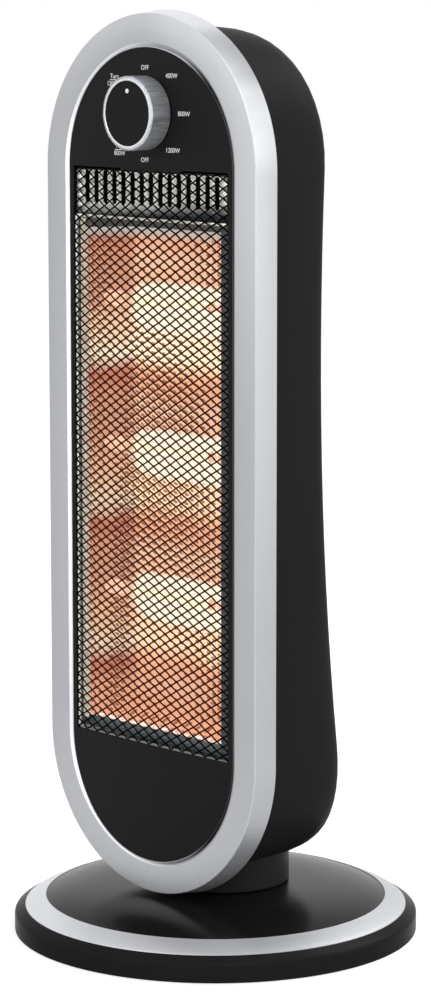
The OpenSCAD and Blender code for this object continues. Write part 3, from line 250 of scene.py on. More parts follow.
def tint(red, green, blue):
    """The linear colour of a screen colour that is given from 0 to 255."""
    return tuple(c / 255 / 12.92 if c <= 10 else ((c / 255 + 0.055) / 1.055) ** 2.4 for c in (red, green, blue))


def tints(*stops):
    """Ramp stops from rows of a place and a screen colour."""
    return [(place, tint(*colour)) for place, *colour in stops]


# ---------- finishes

def moulded(name, colour, roughness, ior=1.45, grain_mm=0.6, grain=0.1):
    """Injection-moulded plastic: fine grain, faint flow marks and a little dust."""
    paint = Paint(name, colour, IOR=ior)
    flow = paint.noise(22.0, stretch=(1.0, 1.0, 0.25))
    dust = paint.noise(420.0, 4.0, 0.7).between(0.62, 0.85)
    fine = paint.noise(1000.0 / grain_mm, 2.0)
    return paint.fill((fine, grain, 0.05), Roughness=roughness + 0.06 * (flow - 0.5) + 0.10 * dust,
                      Base_Color=paint.mix(dust * 0.04, paint.vary(flow, colour, 0.88, 1.12), grey(0.25)))


def crown_plastic(name, colour):
    """The base's black plastic, which is glossy on the crown and satin on the rim outside the ring, where its colour
    is also painted paler as painted light.
    """
    paint = moulded(name, colour, 0.24, 1.06)
    x, y, _ = paint.axes()
    rim = (x * x + y * y).between(0.0165, 0.0180)        # from 128 to 134 mm out, squared
    # painted light: the rim's colour is painted paler than the crown's
    paint.tone(paint.mix(rim, grey(1.0), grey(1.9)))
    return paint.fill(Coat_IOR=1.22, Coat_Roughness=0.24, Coat_Weight=0.72 - 0.62 * rim)


def silver_lacquer(name, colour, metallic=0.6, roughness=0.40):
    """Metallic silver paint on plastic: fine flakes under a satin lacquer."""
    paint = Paint(name, colour, Metallic=metallic, Coat_Roughness=0.18)
    flakes = paint.node("ShaderNodeTexVoronoi", inputs={"Vector": paint.place, "Scale": 2600.0})
    cloud = paint.noise(30.0)
    sparkle = paint.noise(1500.0, 2.0).between(0.35, 0.75)
    return paint.fill((flakes, 0.05, 0.03), Base_Color=paint.vary(sparkle * 0.35, colour, 0.94, 1.12),
                      Roughness=roughness + 0.05 * cloud - 0.06 * sparkle, Coat_Weight=0.18 + 0.05 * cloud)


def ring_reach(paint):
    """The distance from the middle line of the oval ring, and the three axes."""
    x, y, z = paint.axes()
    middle, half = (ARCH_HIGH_Z + ARCH_LOW_Z) / 2 * MM, (ARCH_HIGH_Z - ARCH_LOW_Z) / 2 * MM
    rise = (abs(z - middle) - half).at_least(0.0)
    return (x * x + rise * rise) ** 0.5, x, y, z


def shade_in_gap(paint, reach, x):
    """Paints a shadow into the narrow gap between the ring and the panel, on the right."""
    gap = (1.0 - reach.between(0.0814, 0.0818)) * x.between(0.03, 0.06)
    return paint.tone(paint.mix(gap, grey(1.0), grey(0.05)))


def ring_lacquer(name, colour):
    """The silver paint on the oval ring, with painted light: its face and side are painted lighter and darker by
    height, as painted highlights and painted reflections of the bright and dark parts of the room, its outer edge has
    a painted highlight, and a painted shadow lies where the right side of the ring meets the panel."""
    peak = 1.6                   # the brightest level below, which the base colour carries
    paint = silver_lacquer(name, shade(colour, peak))
    reach, x, y, z = ring_reach(paint)
    low, span = 0.05, 0.60       # the heights that the ramps cover
    height = (z - low) / span

    def painted_light_levels(*stops):
        return paint.ramp(height, greys(*(((place - low) / span, level / peak) for place, level in stops)))
    # painted light by height: the face, the left half of the face and the side are painted lighter and darker, as
    # painted highlights, painted shade and painted reflections of the room
    foot = (0.08, 1.13), (0.16, 1.0), (0.36, 1.0)
    face = painted_light_levels(*foot, (0.50, 1.18))
    left = painted_light_levels(*foot, (0.50, 0.92), (0.57, 0.90), (0.62, 1.0))
    side = painted_light_levels((0.08, 1.10), (0.16, 1.0), (0.23, 1.0), (0.36, 1.15), (0.50, 1.20), (0.524, 1.17),
                  (0.545, 1.30), (0.566, 1.43), (0.580, 1.22), (0.590, 0.76), (0.600, 0.68), (0.607, 0.66),
                  (0.612, 0.76), (0.617, 1.0), (0.622, 1.45), (0.628, 1.6))
    depth = y - FRONT_Y * MM
    tone = paint.mix(depth.between(0.0006, 0.0009), paint.mix(x.between(-0.01, 0.03), left, face), side)
    # painted highlight along the ring's rounded outer edge
    edge = depth.between(0.00003, 0.0001) * (1.0 - depth.between(0.0007, 0.0010))
    paint.tone(paint.mix(edge, tone, paint.product(tone, grey(1.2))))
    return shade_in_gap(paint, reach, x)


def trim_lacquer(name, colour):
    """The silver paint on the base's flat ring, with painted light: paler at its left, and painted darker towards the
    back right.
    """
    paint = silver_lacquer(name, colour, 0.8, 0.52)
    x, y, _ = paint.axes()
    # painted light: a ramp across the ring from front left to back right, lighter and darker by how the light falls
    across = (0.69 * x + 0.7238 * y + 0.13) / 0.26       # 0 at the front left and 1 at the back right
    return paint.tone(paint.ramp(across, greys(
        (0.015, 1.0), (0.07, 1.0), (0.18, 0.87), (0.32, 0.88), (0.47, 0.72), (0.60, 0.55), (0.735, 0.50),
        (0.85, 0.58), (0.93, 0.65), (0.99, 0.68))))


def bevel_lacquer(name, colour):
    """The silver paint on the ring's inner bevel, with a painted highlight on its left side, a painted darker right
    side, and a painted shadow in the gap on the right.
    """
    paint = silver_lacquer(name, colour)
    reach, x, _, _ = ring_reach(paint)
    paint.fill(Base_Color=paint.vary(x.between(-0.03, 0.03), colour, 1.65, 0.92))
    return shade_in_gap(paint, reach, x)


def turned_silver(name, colour):
    """Brushed aluminium look of the knob: fine lines along its axis."""
    paint = Paint(name, colour, Metallic=0.85)
    lines = paint.noise(1900.0, 3.0, 0.6, (1.0, 0.03, 1.0))
    rub = paint.noise(70.0)
    return paint.fill((lines, 0.18, 0.04), Base_Color=paint.vary(lines.between(0.3, 0.7), colour, 0.72, 1.2),
                      Roughness=0.30 + 0.14 * lines + 0.05 * rub)


def sheet_metal(name, colour, roughness, metallic=1.0):
    """Rolled and plated sheet: rolling lines with light stains."""
    paint = Paint(name, colour, Metallic=metallic)
    rolled = paint.noise(900.0, 3.0, 0.6, (1.0, 1.0, 0.03))
    stain = paint.noise(45.0, 5.0, 0.6)
    return paint.fill((rolled, 0.12, 0.05), Base_Color=paint.vary(stain, colour, 0.85, 1.1),
                      Roughness=roughness + 0.12 * (stain - 0.5) + 0.03 * rolled)


def cast_metal(name, colour):
    """Sand-cast iron: coarse pits and patches."""
    paint = Paint(name, colour, Metallic=0.7)
    pits = paint.noise(500.0, 5.0, 0.7)
    patch = paint.noise(40.0)
    return paint.fill((pits, 0.5, 0.4), Base_Color=paint.vary(patch, colour, 0.7, 1.3), Roughness=0.6 + 0.2 * pits)


def soft_rubber(name, colour):
    """Matt rubber with a bloom and fine pores."""
    paint = Paint(name, colour, Specular_IOR_Level=0.3)
    pores = paint.noise(1400.0)
    bloom = paint.noise(120.0)
    return paint.fill((pores, 0.3, 0.08), Base_Color=paint.vary(bloom, colour, 1.0, 1.8),
                      Roughness=0.78 + 0.12 * bloom)


def fired_ceramic(name, colour):
    """Unglazed steatite: chalky, with dark specks."""
    paint = Paint(name, colour, Specular_IOR_Level=0.35)
    specks = paint.noise(900.0, 3.0, 0.7).between(0.62, 0.72)
    chalk = paint.noise(250.0)
    return paint.fill((chalk, 0.2, 0.08), Base_Color=paint.vary(specks * 0.5, colour, 1.0, 0.6),
                      Roughness=0.65 + 0.2 * chalk)


def enamelled_wire(name, colour):
    """Black enamel on the guard's wires, rubbed here and there, with a painted dull red glow where the lamps light
    them.
    """
    paint = Paint(name, colour, IOR=1.06, Emission_Strength=1.0)
    x, _, z = paint.axes()
    # painted light: the wires in front of the lamps are painted with a dull red glow
    painted_red_glow = z.between(0.150, 0.160) * (1.0 - z.between(0.478, 0.488)) * (1.0 - abs(x).between(0.066, 0.070))
    rub = paint.noise(260.0, 4.0, 0.6).between(0.6, 0.8)
    fine = paint.noise(2400.0)
    return paint.fill((fine, 0.2, 0.03), Base_Color=paint.mix(rub * 0.15, colour, (0.02, 0.018, 0.016)),
                      Roughness=0.5 + 0.15 * fine, Emission_Color=paint.mix(painted_red_glow, grey(0.0), (0.034, 0.002, 0.0)))


def hot_mirror(name, bright):
    """Polished reflector whose emission paints the lamps' light on it, as painted light.

    Each lamp has a painted pale highlight just under its own height. Under that the sheet is painted cream,
    and between two lamps a deep orange. The side wings are painted with less of the lamps.
    The guard's mesh is painted on the sheet as a reflection, a small dark spot in each of its cells."""
    paint = Paint(name, (0.05, 0.045, 0.04), Metallic=1.0, Emission_Strength=1.75)
    x, y, z = paint.axes()
    waves = paint.noise(22.0, 2.0, stretch=(1.0, 1.0, 0.6)) - 0.5
    ripple = paint.noise(95.0, 3.0, 0.6)
    wobble = ripple - 0.5
    fine = paint.noise(420.0, 2.0)
    fold, pitch, lowest = TROUGH_HALF_W * MM, LAMP_PITCH * MM, LAMP_Z[0] * MM
    turn = (z + 0.018 * waves + 0.010 * wobble + 0.0018 - lowest) / pitch
    phase = (turn + 0.5).fraction()          # 0.5 is level with a lamp, and 0 half way to the next
    back = paint.ramp(phase, tints(
        (0.0, 195, 142, 110), (0.06, 200, 158, 124), (0.14, 214, 184, 151), (0.24, 220, 183, 150),
        (0.31, 214, 179, 148), (0.38, 209, 166, 135), (0.62, 197, 159, 135), (0.70, 194, 154, 125),
        (0.78, 194, 161, 134), (0.86, 191, 149, 122), (0.93, 191, 140, 111)))
    wing = paint.ramp(phase, tints(
        (0.0, 154, 93, 74), (0.06, 168, 136, 115), (0.14, 184, 167, 142), (0.28, 184, 151, 122),
        (0.38, 183, 142, 113), (0.54, 171, 125, 104), (0.70, 165, 121, 98), (0.86, 167, 116, 95),
        (0.94, 154, 97, 77)))
    glow = paint.mix(abs(x).between(fold - 0.006, fold + 0.004), back, wing)
    # painted light: the sheet is painted paler under the highest lamp, and stays deep under the lowest
    high = z.between(0.385, 0.400) * (1.0 - z.between(0.424, 0.436))
    glow = paint.product(glow, paint.mix(high, (0.96, 0.92, 0.90), (1.08, 1.20, 1.24)))
    glow = paint.mix((1.0 - z.between(0.160, 0.182)) * 0.85, glow, tint(184, 127, 97))
    # painted highlight: the pale patch that belongs to each lamp
    rise = (z + 0.004 * wobble + 0.0055 - lowest) / pitch + 0.5
    off = abs(rise.fraction() - 0.5) * pitch
    reach = (abs(x) / fold) ** 5.0 + (off / 0.0165) ** 3.0
    patch = (1.0 - reach.between(0.55, 1.5)) * z.between(0.165, 0.175)
    glow = paint.mix(patch, glow, bright)
    # painted reflection of the mesh: a small dark slanting spot in each cell, and the cells are closer on the wings
    width, height = mesh_cell()[2:]
    along = (x + x.sign() * (abs(x) - fold).at_least(0.0) * 1.54) / (width * MM)
    up = z / (height * MM)
    shake = 0.5 * wobble + 0.25 * (fine - 0.5)
    slant = abs((along + up + shake + 0.099).fraction() - 0.5)
    length = abs((along - up + shake + 0.348).fraction() - 0.5)
    spot = 1.0 - ((slant / 0.23) ** 2.0 + (length / 0.38) ** 2.0).between(0.3, 1.3)
    veil = 1.14 - spot * (0.96 - 0.80 * patch)
    glow = paint.mix(veil * (0.88 + 0.24 * fine), (0.09, 0.02, 0.01), glow)
    # painted light and shade on the edges: grey on the fold at each side, the shelf at the top in grey with its dark
    # end as a painted shadow, and painted shade on the lip at the foot and in front
    glow = paint.mix(abs(x).between(0.0678, 0.0692), glow, (0.30, 0.26, 0.20))
    glow = paint.mix(z.between(0.476, 0.486), glow, (0.28, 0.26, 0.23))
    glow = paint.mix(z.between(0.4860, 0.4866), glow, grey(0.03))
    glow = paint.mix(1.0 - z.between(0.1470, 0.1476), glow, (0.022, 0.029, 0.034))
    glow = paint.mix((-y).between(0.0568, 0.0571), glow, (0.10, 0.10, 0.095))
    # painted glints: a broken line of pale painted highlights along the foot
    painted_glints = (1.0 - abs(z - 0.1480).between(0.0002, 0.0007)) * (0.5 * fine + 0.5 * ripple).between(0.42, 0.52)
    return paint.fill((ripple, 0.25, 0.6), Emission_Color=paint.mix(painted_glints, glow, (0.58, 0.57, 0.55)),
                      Roughness=0.16 + 0.14 * ripple)


def frame_sheet(name):
    """Inner frame with painted light: its left strip is painted with the glow it catches, and its right strip and its
    foot are painted dark as shade.
    """
    paint = Paint(name, grey(0.05), Metallic=1.0, Emission_Strength=1.0)
    x, _, z = paint.axes()
    stain = paint.noise(260.0)
    # painted light: the left strip above the foot takes a pale painted colour, the rest a dark painted shade
    lit = (-x).between(0.0, 0.002) * z.between(0.146, 0.147) * (1.0 - abs(x).between(0.0716, 0.0721))
    # the stain noise varies the roughness and the painted light alike
    bright = paint.mix(stain.between(0.35, 0.65), (0.62, 0.56, 0.46), (0.40, 0.34, 0.27))
    return paint.fill(Emission_Color=paint.mix(lit, (0.030, 0.034, 0.038), bright), Roughness=0.35 + 0.10 * stain)


def heat_tinted(name, low, high):
    """Bright sheet painted a dull dark blue below a height, as a painted reflection of the dark room at a bend."""
    paint = Paint(name, (0.6, 0.6, 0.58), Metallic=0.85)
    x, _, z = paint.axes()
    rolled = paint.noise(700.0, 3.0, 0.6, (1.0, 1.0, 0.03))
    stain = paint.noise(60.0, 4.0, 0.6)
    height = z + 0.004 * (stain - 0.5) - 0.05 * x
    sheet = paint.mix(stain, (0.82, 0.82, 0.75), (1.0, 1.0, 0.93))
    # painted reflection: dull dark blue below the bend's height
    sheet = paint.mix(height.between(low, high), (0.035, 0.045, 0.052), sheet)
    # painted shade on the sheet's right end
    sheet = paint.mix(x.between(0.0728, 0.0732), sheet, grey(0.05))
    # painted shadow along the top edge, under the panel
    return paint.fill((rolled, 0.15, 0.05), Base_Color=paint.mix(z.between(0.5252, 0.5256), sheet, grey(0.02)),
                      Roughness=0.30 + 0.15 * stain + 0.10 * rolled)


def lamp_glass(name):
    """Quartz tube: clear at its ends, and lit from inside along its heated length."""
    clear = (1.0, 0.98, 0.95)
    paint = Paint(name, clear, Transmission_Weight=1.0, IOR=1.06, Emission_Strength=1.0)
    x, _, _ = paint.axes()
    cloud = paint.noise(300.0, stretch=(0.3, 1.0, 1.0))
    ends = (abs(x) + 0.004 * (cloud - 0.5)).between(0.048, 0.053)
    return paint.fill(Base_Color=paint.mix(ends, clear, (0.05, 0.03, 0.02)), Roughness=0.05 + 0.10 * cloud,
                      Emission_Color=paint.mix(ends, (0.045, 0.040, 0.032), (0.78, 0.47, 0.33)))


def hot_coil(name):
    """Tungsten at working heat, cooler towards its ends."""
    paint = Paint(name, (0.3, 0.2, 0.1), Emission_Strength=1.0, Roughness=0.5)
    x, _, _ = paint.axes()
    ends = abs(x).between(0.030, 0.042)
    return paint.fill(Emission_Color=paint.mix(ends, (0.86, 0.78, 0.58), (0.50, 0.32, 0.22)))


def print_white(name):
    """Pad-printed ink with slightly uneven cover."""
    paint = Paint(name, grey(0.95))
    cover = paint.noise(900.0)
    return paint.fill(Base_Color=paint.mix(cover, grey(0.93), grey(1.0)), Roughness=0.5 + 0.1 * cover)


FINISHES = {}


def finish(name):
    """The material of that name, made when it is first asked for."""
    if name not in FINISHES:
        colours = bpy.context.scene.heater_colours
        black, panel, silver = tuple(colours.shell), tuple(colours.panel), tuple(colours.silver)
        maker, *values = {
            "shell_black": (moulded, shade(black, 2.3), 0.40, 1.07),
            # painted light: the neck's black is painted lighter than the housing's, to make up for the shade it
            # stands in
            "neck_black": (moulded, shade(black, 3.4), 0.30, 1.10),
            "base_black": (crown_plastic, black),
            "panel_black": (moulded, panel, 0.50, 1.2, 0.4, 0.06),
            "knob_black": (moulded, panel, 0.55, 1.2, 0.4, 0.05),
            "cover_grey": (moulded, (0.05, 0.05, 0.052), 0.55, 1.45, 0.8, 0.3),
            "gear_white": (moulded, (0.78, 0.77, 0.70), 0.42),
            "switch_black": (moulded, (0.022, 0.022, 0.024), 0.5),
            "cutout_brown": (moulded, (0.10, 0.05, 0.028), 0.45),
            "plunger_red": (moulded, (0.45, 0.03, 0.02), 0.4),
            "silver_lacquer": (ring_lacquer, silver),
            "bevel_silver": (bevel_lacquer, silver),
            "base_silver": (trim_lacquer, shade(silver, 1.55)),
            "turned_silver": (turned_silver, shade(silver, 1.45)),
            "guard_black": (enamelled_wire, (0.002, 0.002, 0.002)),
            "hot_mirror": (hot_mirror, tuple(colours.glow_bright)),
            # painted shade: a dark sheet for the heat shield and lamp brackets, which lie in shade behind the slots
            "dull_sheet": (sheet_metal, (0.045, 0.045, 0.04), 0.45, 0.6),
            "plated_screw": (sheet_metal, (0.55, 0.55, 0.56), 0.32),
            "motor_can": (sheet_metal, (0.58, 0.53, 0.36), 0.38),
            "heat_tinted": (heat_tinted, 0.4955, 0.5075),
            "lip_sheet": (heat_tinted, 0.1415, 0.1465),
            "frame_sheet": (frame_sheet,),
            "cast_weight": (cast_metal, (0.10, 0.10, 0.105)),
            "foot_rubber": (soft_rubber, (0.018, 0.018, 0.018)),
            "lamp_ceramic": (fired_ceramic, (0.80, 0.77, 0.70)),
            "lamp_glass": (lamp_glass,),
            "hot_coil": (hot_coil,),
            "print_white": (print_white,),
        }[name]
        FINISHES[name] = maker(name, *values).material
    return FINISHES[name]


# ---------- making meshes

def mm(*lengths):
    """Lengths in mm, turned into metres."""
    return tuple(length * MM for length in lengths)


def circle(count):
    """The directions of points round a circle."""
    return [(math.cos(math.tau * i / count), math.sin(math.tau * i / count)) for i in range(count)]


def placed(name, data):
    """A new object in the scene."""
    made = bpy.data.objects.new(name, data)
    bpy.context.scene.collection.objects.link(made)
    return made


def turned(degrees, axis):
    return Matrix.Rotation(math.radians(degrees), 4, axis)


def mesh_of(name, bm):
    """A mesh from a bmesh, which ends there."""
    mesh = bpy.data.meshes.new(name)
    bm.to_mesh(mesh)
    bm.free()
    return mesh


def harvest(bm, holder, matrix=Matrix()):
    """Moves an object's final mesh into a bmesh."""
    mesh = bpy.data.meshes.new_from_object(holder.evaluated_get(bpy.context.evaluated_depsgraph_get()))
    mesh.transform(matrix)
    bm.from_mesh(mesh)
    bpy.data.objects.remove(holder)
    bpy.data.meshes.remove(mesh)


def lathe(profile, steps, closed=True):
    """Turns a profile of (radius, height) round the Z axis. A radius of 0 is a pole."""
    bm = bmesh.new()
    rings = [[bm.verts.new(mm(r * c, r * s, z)) for c, s in circle(steps if r else 1)] for r, z in profile]
    following = rings[1:] + rings[:1] if closed else rings[1:]
    for low, high in zip(rings, following):
        for i in range(steps):
            j = i + 1
            corners = dict.fromkeys((low[i % len(low)], low[j % len(low)], high[j % len(high)], high[i % len(high)]))
            if len(corners) > 2:
                bm.faces.new(tuple(corners))
    return bm


def skin(bm, loops, closed=True):
    """Joins loops of points with faces, each to the next, and the last to the first where it is closed."""
    for first, second in zip(loops, loops[1:] + loops[:1] if closed else loops[1:]):
        for i in range(len(first)):
            j = (i + 1) % len(first)
            bm.faces.new((first[i], first[j], second[j], second[i]))


def slab(bm, size, middle):
    """Adds a flat strip or sheet, with its size and its middle in mm."""
    verts = bmesh.ops.create_cube(bm, size=MM)["verts"]
    bmesh.ops.scale(bm, vec=size, verts=verts)
    bmesh.ops.translate(bm, vec=mm(*middle), verts=verts)


def sweep_oval(profile):
    """Sweeps a closed profile of (distance out, depth, share of the panel's bow) round the head's oval."""
    drop = ARCH_HIGH_Z - ARCH_LOW_Z
    arc = [math.pi * i / ARC_STEPS for i in range(ARC_STEPS + 1)]
    sides = [drop * i / SIDE_STEPS for i in range(1, SIDE_STEPS)]
    path = [(ARCH_HIGH_Z, math.cos(a), math.sin(a)) for a in arc]          # height of the centre, and direction
    path += [(ARCH_HIGH_Z - way, -1.0, 0.0) for way in sides]
    path += [(ARCH_LOW_Z, math.cos(math.pi + a), math.sin(math.pi + a)) for a in arc]
    path += [(ARCH_LOW_Z + way, 1.0, 0.0) for way in sides]
    bm = bmesh.new()
    skin(bm, [[bm.verts.new(mm(r * dx, y + follow * (bow_y(r * dx) - PANEL_Y), zc + r * dz)) for zc, dx, dz in path]
              for r, y, follow in profile])
    return bm


def sweep_frame(profile, half_w, low_z, high_z):
    """Sweeps a closed profile of (distance out, depth) round an upright rectangle."""
    across = [half_w * (2 * i / SIDE_STEPS - 1) for i in range(1, SIDE_STEPS)]
    path = [(-half_w, low_z, -1, -1)] + [(x, low_z, 0, -1) for x in across] + [(half_w, low_z, 1, -1)]
    path += [(half_w, high_z, 1, 1)] + [(-x, high_z, 0, 1) for x in across] + [(-half_w, high_z, -1, 1)]
    bm = bmesh.new()
    skin(bm, [[bm.verts.new(mm(x + out_x * u, v, z + out_z * u)) for x, z, out_x, out_z in path]
              for u, v in profile])
    return bm


def rounded(points, radius, steps=4):
    """A closed outline of 2D points with each corner made round."""
    points = [Vector(point) for point in points]
    out = []
    for before, corner, after in zip(points[-1:] + points[:-1], points, points[1:] + points[:1]):
        start = corner + (before - corner).normalized() * radius
        end = corner + (after - corner).normalized() * radius
        for i in range(steps + 1):
            t = i / steps
            out.append(tuple((1 - t) ** 2 * start + 2 * t * (1 - t) * corner + t * t * end))
    return out


def settle(name, bm, material, body, stands_for=(), angle=30, turn_out=True):
    """Turns a bmesh into a finished piece that rides on a body."""
    bmesh.ops.remove_doubles(bm, verts=bm.verts, dist=2e-6)
    if turn_out:
        bmesh.ops.recalc_face_normals(bm, faces=bm.faces)
    limit = math.radians(angle)
    for face in bm.faces:
        face.smooth = True
    for edge in bm.edges:
        edge.smooth = len(edge.link_faces) == 2 and edge.calc_face_angle(0.0) < limit
    mesh = mesh_of(name, bm)
    mesh.materials.append(finish(material))
    piece = placed(name, mesh)
    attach(piece, body)
    if stands_for:
        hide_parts(*stands_for)


def polish(node, material, angle=30):
    """A smooth-shaded copy of a CAD node, which it stands for."""
    bm = bmesh.new()
    bm.from_mesh(CAD[node].data)
    settle(node + "_fine", bm, material, CAD[node]["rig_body"], [node], angle, False)


def coat(node, material):
    """Gives a CAD node its finish."""
    for place in CAD[node].material_slots:
        place.material = finish(material)


# ---------- repeats

class Growth(Nodes):
    """A Geometry Nodes tree with named inputs, put to work on one object."""

    def __init__(self, name):
        super().__init__(bpy.data.node_groups.new(name, "GeometryNodeTree"))
        for way in ("INPUT", "OUTPUT"):
            self.tree.interface.new_socket("Geometry", in_out=way, socket_type="NodeSocketGeometry")
        self.entry = self.tree.nodes.new("NodeGroupInput")
        self.exit = self.tree.nodes.new("NodeGroupOutput")
        self.values = {}

    def size(self, name, value, kind="Float"):
        """A named input of the tree, with its value."""
        made = self.tree.interface.new_socket(name, in_out="INPUT", socket_type="NodeSocket" + kind)
        self.values[made.identifier] = value
        return Value(self, self.entry.outputs[name])

    def moved(self, geometry, degrees, place):
        """Turns a geometry and then shifts it, in mm."""
        return self.node("GeometryNodeTransform", inputs={
            "Geometry": geometry, "Rotation": tuple(map(math.radians, degrees)), "Translation": mm(*place)})

    def seed(self):
        """The mesh that the tree repeats."""
        return Value(self, self.entry.outputs["Geometry"])

    def grow(self, geometry, material, seed, name, body, slot, stands_for=()):
        """Realizes the instances and hands the result over as a finished piece."""
        real = self.node("GeometryNodeRealizeInstances", inputs={0: geometry})
        done = self.node("GeometryNodeSetMaterial", inputs={"Geometry": real, "Material": finish(material)})
        self.feed(self.exit.inputs[0], done)
        holder = placed(name + "_seed", mesh_of(name + "_seed", seed))
        modifier = holder.modifiers.new("growth", "NODES")
        modifier.node_group = self.tree
        for identifier, value in self.values.items():
            modifier[identifier] = value
        bm = bmesh.new()
        harvest(bm, holder)
        settle(name, bm, material, body, stands_for, 35, False)


def bar(length, width, depth, wave, steps=4):
    """A strand along X: six-sided, and bent by a wave in depth, with open ends."""
    bm = bmesh.new()
    loops = []
    for k in range(steps + 1):
        t = k / steps - 0.5
        push = wave * math.cos(math.tau * t)
        loops.append([bm.verts.new(mm(t * length, push + depth / 2 * c, width / 2 * s)) for c, s in circle(6)])
    skin(bm, loops, closed=False)
    bmesh.ops.recalc_face_normals(bm, faces=bm.faces)
    return bm


def joined(*parts):
    """One bmesh from several (bmesh, matrix) pairs."""
    whole = bmesh.new()
    for part, matrix in parts:
        part.transform(matrix)
        mesh = mesh_of("part", part)
        whole.from_mesh(mesh)
        bpy.data.meshes.remove(mesh)
    return whole


# ---------- settings

class HeaterSizes(bpy.types.PropertyGroup):
    """Sizes of the fine pieces."""
    cell_width: bpy.props.FloatProperty(
        name="Mesh cell width", description="Width of one diamond of the guard", default=0.0109, unit="LENGTH")
    cell_height: bpy.props.FloatProperty(
        name="Mesh cell height", description="Height of one diamond of the guard", default=0.00625, unit="LENGTH")
    wire: bpy.props.FloatProperty(
        name="Mesh wire", description="Thickness of the guard's wire", default=0.00122, unit="LENGTH")
    bow: bpy.props.FloatProperty(
        name="Mesh bow", description="Forward bow of the guard's middle", default=0.0023, unit="LENGTH")
    ridges: bpy.props.IntProperty(
        name="Knob ridges", description="Number of fine ridges round the knob", default=172, min=40, max=240)
    letter: bpy.props.FloatProperty(
        name="Letter height", description="Height of the dial's letters", default=0.0035, unit="LENGTH")
    coil_turns: bpy.props.IntProperty(
        name="Coil turns", description="Turns of each lamp's coil", default=88, min=20, max=160)
    coil_radius: bpy.props.FloatProperty(
        name="Coil radius", description="Radius of each lamp's coil", default=0.0011, unit="LENGTH")


class HeaterColours(bpy.types.PropertyGroup):
    """Colours that set the look of the heater."""
    shell: bpy.props.FloatVectorProperty(
        name="Shell", description="Black of the base, the neck and the housing",
        subtype="COLOR", default=(0.0080, 0.0080, 0.0084))
    panel: bpy.props.FloatVectorProperty(
        name="Panel", description="Fine matt black of the front and the knob's face",
        subtype="COLOR", default=(0.0060, 0.0060, 0.0061))
    silver: bpy.props.FloatVectorProperty(
        name="Silver", description="Silver of the oval ring, the base ring and the knob",
        subtype="COLOR", default=(0.50, 0.51, 0.53))
    # the colour of the reflector's painted highlight, level with a lamp
    glow_bright: bpy.props.FloatVectorProperty(
        name="Bright glow", description="Glow level with a lamp", subtype="COLOR", default=(0.64, 0.575, 0.445))


def sizes():
    return bpy.context.scene.heater_sizes


def mesh_cell():
    """Columns and rows of the guard's mesh, and the width and height of a cell in mm."""
    width, height = 2 * MESH_HALF_W, MESH_HIGH_Z - MESH_LOW_Z
    columns = max(2, round(width * MM / sizes().cell_width))
    rows = max(2, round(height * MM / sizes().cell_height))
    return columns, rows, width / columns, height / rows


# ---------- operators

class HEATER_OT_base(bpy.types.Operator):
    """Finishes the round base with its silver ring, feet and cover"""
    bl_idname = "heater.base"
    bl_label = "Base"

    def execute(self, context):
        polish("base_shell", "base_black", 24)
        polish("bottom_cover", "cover_grey")
        polish("rubber_feet", "foot_rubber")
        polish("cord_grommet", "foot_rubber")

        def crown(r):
            return BASE_H - BASE_FALL * (r / BASE_R) ** CROWN_POWER
        proud, deep = 0.4, 0.7
        radii = [TRIM_IN_R + TRIM_W * i / 8 for i in range(9)]
        top = [(r, crown(r) + proud) for r in radii]
        low = [(r, crown(r) - deep) for r in reversed(radii)]
        (r, z), (out_r, out_z) = top[0], top[-1]
        inner_edge = [(r, z - 0.35), (r + 0.1, z - 0.1), (r + 0.35, z)]
        outer_edge = [(out_r - 0.35, out_z + 0.05), (out_r - 0.1, out_z - 0.12), (out_r, out_z - 0.4)]
        ring = lathe(inner_edge + top[1:-1] + outer_edge + low, 256)
        settle("base_ring", ring, "base_silver", "base", ["base_trim_ring"])
        return {"FINISHED"}


class HEATER_OT_inside(bpy.types.Operator):
    """Finishes the weight, motor, gears, switches and other pieces inside"""
    bl_idname = "heater.inside"
    bl_label = "Inner pieces"

    def execute(self, context):
        for material, nodes in {
                "cast_weight": ["counterweight"], "motor_can": ["swing_motor"], "plunger_red": ["tip_plunger"],
                "lamp_ceramic": ["terminal_block"], "cutout_brown": ["thermal_cutout"],
                # the heat shield and lamp brackets get a dark sheet as painted shade
                "dull_sheet": ["heat_shield", "lamp_brackets"],
                "gear_white": ["swivel_washer", "tip_bracket", "drive_pinion", "swing_gear"],
                "switch_black": ["cord_clamp", "tip_switch", "rotary_switch"],
                "plated_screw": [
                    "base_screws", "weight_screws", "motor_screws", "clamp_screws", "tip_screws", "neck_screws",
                    "retainer_screws", "reflector_screws", "housing_screws", "tip_spring", "motor_shaft",
                    "gear_retainer", "switch_nut", "switch_shaft"]}.items():
            for node in nodes:
                coat(node, material)
        return {"FINISHED"}


class HEATER_OT_housing(bpy.types.Operator):
    """Finishes the rear housing and the neck under it"""
    bl_idname = "heater.housing"
    bl_label = "Housing and neck"

    def execute(self, context):
        polish("rear_housing", "shell_black", 28)
        polish("neck", "neck_black")
        return {"FINISHED"}


